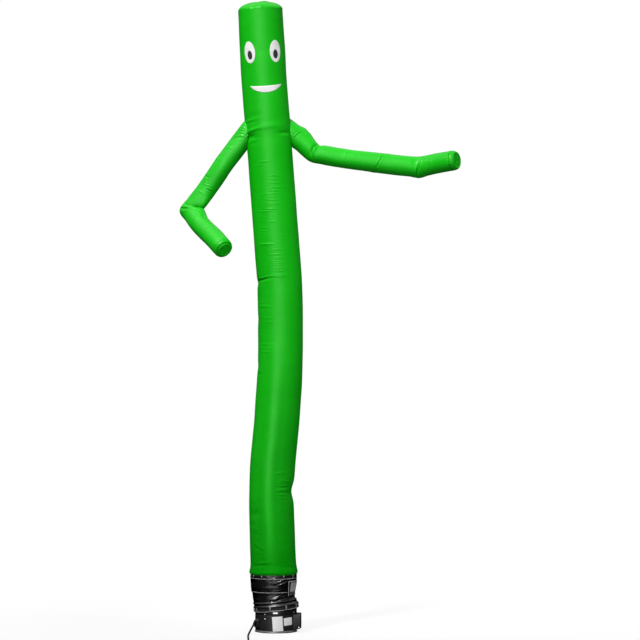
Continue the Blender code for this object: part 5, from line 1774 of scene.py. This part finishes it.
def make_fittings(looks):
    """Rivets, the box's screw, the two blank plates and the clip."""
    for number, (angle, height) in enumerate(RIVETS, 1):
        out = around(np.array(float(angle)))
        base = Vector(out * (DRUM_RADIUS + HAIR_GAP)) + Vector((0, 0, height))
        rivet = spun("rivet_%d_dome" % number, base, out,
                     [(0.0, 0.0045), (0.0007, 0.0045), (0.0012, 0.004), (0.0019, 0.0031), (0.0023, 0.0018),
                      (0.0025, 0.0)], looks["rivet"])
        stand_for(rivet, "bright_metal", "rivet_%d" % number)
    base = Vector((SCREW_PLACE[0], -BOX_HALF_DEPTH - 0.0003, SCREW_PLACE[1]))
    screw = spun("box_screw_head", base, (0, -1, 0),
                 [(0.0, 0.005), (0.0009, 0.005), (0.0016, 0.0044), (0.002, 0.0032), (0.002, 0.0018),
                  (0.0008, 0.0012), (0.0008, 0.0)], looks["metal"])
    stand_for(screw, "bright_metal", "box_screw")
    for name, box, off in (("plate_large", PLATE_LARGE, HAIR_GAP + RIM_OUT),
                           ("plate_small", PLATE_SMALL, HAIR_GAP)):
        plate = drum_patch(name + "_blank", box, off, 0.001, 0.003, looks["plate"], PLATE_TILT)
        stand_for(plate, "plate_plastic", name)
    # Painted highlight: a clip, near-white so that it also stands in for the glint on the collar's shoulder
    clip = drum_patch("clip_spring_painted_glint", CLIP_AND_GLINT, HAIR_GAP, 0.004, 0.004, looks["rivet"], 0.0, 25, 13)
    stand_for(clip, "bright_metal", "clip")


def make_gland(looks):
    """The wedge-topped block that takes the cord, with rounded edges."""
    foot, top_in, top_out = GLAND_HEIGHTS
    half = math.degrees(GLAND_HALF_WIDTH / DRUM_RADIUS)
    inner, outer = DRUM_RADIUS + 0.0012, DRUM_RADIUS + GLAND_REACH
    section = [(inner, foot), (outer, foot), (outer, top_out), ((inner + outer) / 2, (top_in + top_out) / 2),
               (inner, top_in)]
    mesh = bmesh.new()
    rings = [[mesh.verts.new(tuple(out * r + np.array([0, 0, z]))) for r, z in section]
             for out in around(np.linspace(GLAND_ANGLE - half, GLAND_ANGLE + half, 9))]
    join_rings(mesh, rings)
    bmesh.ops.recalc_face_normals(mesh, faces=mesh.faces)
    sharp = [e for e in mesh.edges if len(e.link_faces) == 2 and e.calc_face_angle(0.0) > math.radians(25)]
    bmesh.ops.bevel(mesh, geom=sharp, offset=0.003, segments=3, affect="EDGES", profile=0.5)
    gland = from_bmesh("cord_gland_moulding", mesh, looks["plastic"])
    stand_for(gland, "black_plastic", "cord_gland")


# Cord

def catmull(points, pitch):
    """Points a pitch apart on a smooth curve through the given ones."""
    points = [Vector(p) for p in points]
    ends = [points[0] * 2 - points[1]] + points + [points[-1] * 2 - points[-2]]
    fine = []
    for k in range(1, len(ends) - 2):
        p0, p1, p2, p3 = ends[k - 1:k + 3]
        for step in range(12):
            t = step / 12
            fine.append(0.5 * ((2 * p1) + (p2 - p0) * t + (2 * p0 - 5 * p1 + 4 * p2 - p3) * t * t
                               + (3 * p1 - p0 - 3 * p2 + p3) * t ** 3))
    fine.append(points[-1])
    total = sum((b - a).length for a, b in zip(fine, fine[1:]))
    count = max(2, round(total / pitch))
    kept = [fine[0]]
    walked = 0.0
    for a, b in zip(fine, fine[1:]):
        walked += (b - a).length
        if walked >= total * len(kept) / count and len(kept) < count:
            kept.append(b)
    kept.append(fine[-1])
    return kept


def coil_turns():
    """The coil: turns on the ground, more beside them on the inside, and the last on top of both."""
    turns = np.arange(COIL_STEPS[0][0], COIL_STEPS[-1][0] + 1, 12.0)
    points = []
    for turn in turns:
        for (a, off_a, up_a), (b, off_b, up_b) in zip(COIL_STEPS, COIL_STEPS[1:]):
            if a <= turn <= b:
                t = (turn - a) / (b - a)
                t = t * t * (3 - 2 * t)
                radius = COIL_RADIUS + off_a + (off_b - off_a) * t
                height = LIE + up_a + (up_b - up_a) * t
        way = math.radians(turn)
        points.append((COIL_CENTRE[0] + radius * math.cos(way),
                       COIL_CENTRE[1] + radius * math.sin(way), height))
    return points


def cord_points():
    """The whole cord, from the strain relief to the plug."""
    return catmull(CORD_ROUTE + coil_turns() + HUMP + TAIL_ROUTE, 0.014)


def relief_profile():
    """A taper with a groove behind each rib."""
    rear, front = RELIEF_RADII
    profile = []
    for k in range(RELIEF_RIBS):
        for part, dip in ((0.0, 0.0), (0.55, 0.0), (0.66, 0.0016), (0.92, 0.0016)):
            along = RELIEF_LENGTH * (k + part) / RELIEF_RIBS
            profile.append((along, rear + (front - rear) * along / RELIEF_LENGTH - dip))
    return profile + [(RELIEF_LENGTH, front)]


def make_cord(looks):
    """The cord as one swept curve, its strain relief, and the plug and tie that go with it."""
    points = cord_points()
    data = bpy.data.curves.new("mains_cord", "CURVE")
    data.dimensions = "3D"
    data.bevel_depth = CORD_DIAMETER / 2
    data.bevel_resolution = 5
    data.use_fill_caps = True
    spline = data.splines.new("POLY")
    spline.points.add(len(points) - 1)
    for spot, point in zip(spline.points, points):
        spot.co = (*point, 1.0)
    spline.use_smooth = True
    data.materials.append(looks["rubber"])
    cord = bpy.data.objects.new("mains_cord", data)
    bpy.context.scene.collection.objects.link(cord)
    stand_for(cord, "black_rubber", "cord_run", "cord_coil", "cord_tail")

    aim = Vector(RELIEF_AIM).normalized()
    base = Vector(CORD_ROUTE[0]) - aim * (RELIEF_LENGTH + HAIR_GAP)
    relief = spun("strain_relief_ribbed", base, aim, relief_profile(), looks["rubber"], 28)
    stand_for(relief, "black_rubber", "strain_relief")

    tie = make_tie(looks)
    plug = make_plug(looks)


def make_tie(looks):
    """A strap of webbing wrapped once round the turns."""
    turn = math.radians(TIE_ANGLE)
    out = np.array([math.cos(turn), math.sin(turn), 0.0])
    side = np.array([-out[1], out[0], 0.0])
    centre = np.array([*COIL_CENTRE, 0.0])
    near, far = COIL_RADIUS - CORD_DIAMETER - HAIR_GAP, COIL_RADIUS + CORD_DIAMETER + HAIR_GAP
    low, high = HAIR_GAP, LIE + CORD_DIAMETER / 2 + 0.0008
    crown = LIE + COIL_TOP_LIFT + CORD_DIAMETER / 2 + 0.0008
    loop = [(near + 0.004, low), (far - 0.005, low), (far - 0.0015, low + 0.003), (far, low + 0.008),
            (far, high - 0.006), (far - 0.004, high + 0.002), (COIL_RADIUS + 0.006, crown - 0.002),
            (COIL_RADIUS, crown), (COIL_RADIUS - 0.006, crown - 0.002), (near + 0.004, high + 0.002),
            (near, high - 0.006), (near, low + 0.006), (near + 0.0015, low + 0.002)]
    width = np.linspace(-TIE_WIDTH / 2, TIE_WIDTH / 2, 9)
    points = np.array([[centre + out * r + side * w + np.array([0, 0, z]) for w in width]
                       for r, z in loop + loop[:1]])
    uvs = cloth_uvs(width[None, :], np.linspace(0, 0.11, len(points))[:, None])
    tie = grid_piece("cord_tie_strap", points, uvs, looks["webbing"], thick=0.0012, smooth_angle=50.0)
    tie.modifiers["thickness"].offset = 0.0
    stand_for(tie, "black_webbing", "cord_tie")
    return tie


def make_plug(looks):
    """A moulded plug: a waisted grip with ribs on it, and a flat front face."""
    tip = Vector(TAIL_ROUTE[-1])
    along = tip - Vector(TAIL_ROUTE[-2])
    along.z = 0
    along.normalize()
    side = Vector((-along.y, along.x, 0))
    half_wide, half_tall = PLUG_HALF
    start = tip + along * HAIR_GAP
    start.z = half_tall
    rings = []
    for share, wide, tall in PLUG_SECTIONS:
        ring = []
        for i in range(PLUG_SIDES):
            turn = 2 * math.pi * i / PLUG_SIDES
            c, s = math.cos(turn), math.sin(turn)
            square = (abs(c) ** 3 + abs(s) ** 3) ** (-1 / 3)
            ring.append(start + along * PLUG_LENGTH * share + side * half_wide * wide * c * square
                        + Vector((0, 0, half_tall * tall * s * square)))
        rings.append(ring)
    plug = lofted("plug_moulded", rings, looks["rubber"])
    stand_for(plug, "black_rubber", "plug")
    return plug


def dress_nodes(looks):
    """New materials for the CAD nodes that stay as they are."""
    for name in PLUG_METAL:
        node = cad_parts[name]
        node.data.materials.clear()
        node.data.materials.append(looks["metal"])


def main():
    """Build everything in one fixed order."""
    make_camera()
    looks = make_looks()
    make_cord(looks)
    make_light()
    make_world()
    make_floor()
    make_body(looks)
    make_head_cap(looks)
    make_arm("left", ARM_LEFT, ARM_LEFT_ROOT, ARM_LEFT_CREASES, ARM_LEFT_GATHERS, looks)
    make_arm("right", ARM_RIGHT, ARM_RIGHT_ROOT, ARM_RIGHT_CREASES, ARM_RIGHT_GATHERS, looks)
    make_face(looks)
    lower = make_sleeve(looks)
    stitches = make_stitch_lines(looks)
    make_glint_tacks(looks)
    make_closure(looks)
    strap = make_strap(looks)
    loops = make_belt_loops(looks)
    make_blower(looks)
    make_side_box(looks)
    make_fittings(looks)
    make_gland(looks)
    dress_nodes(looks)


main()
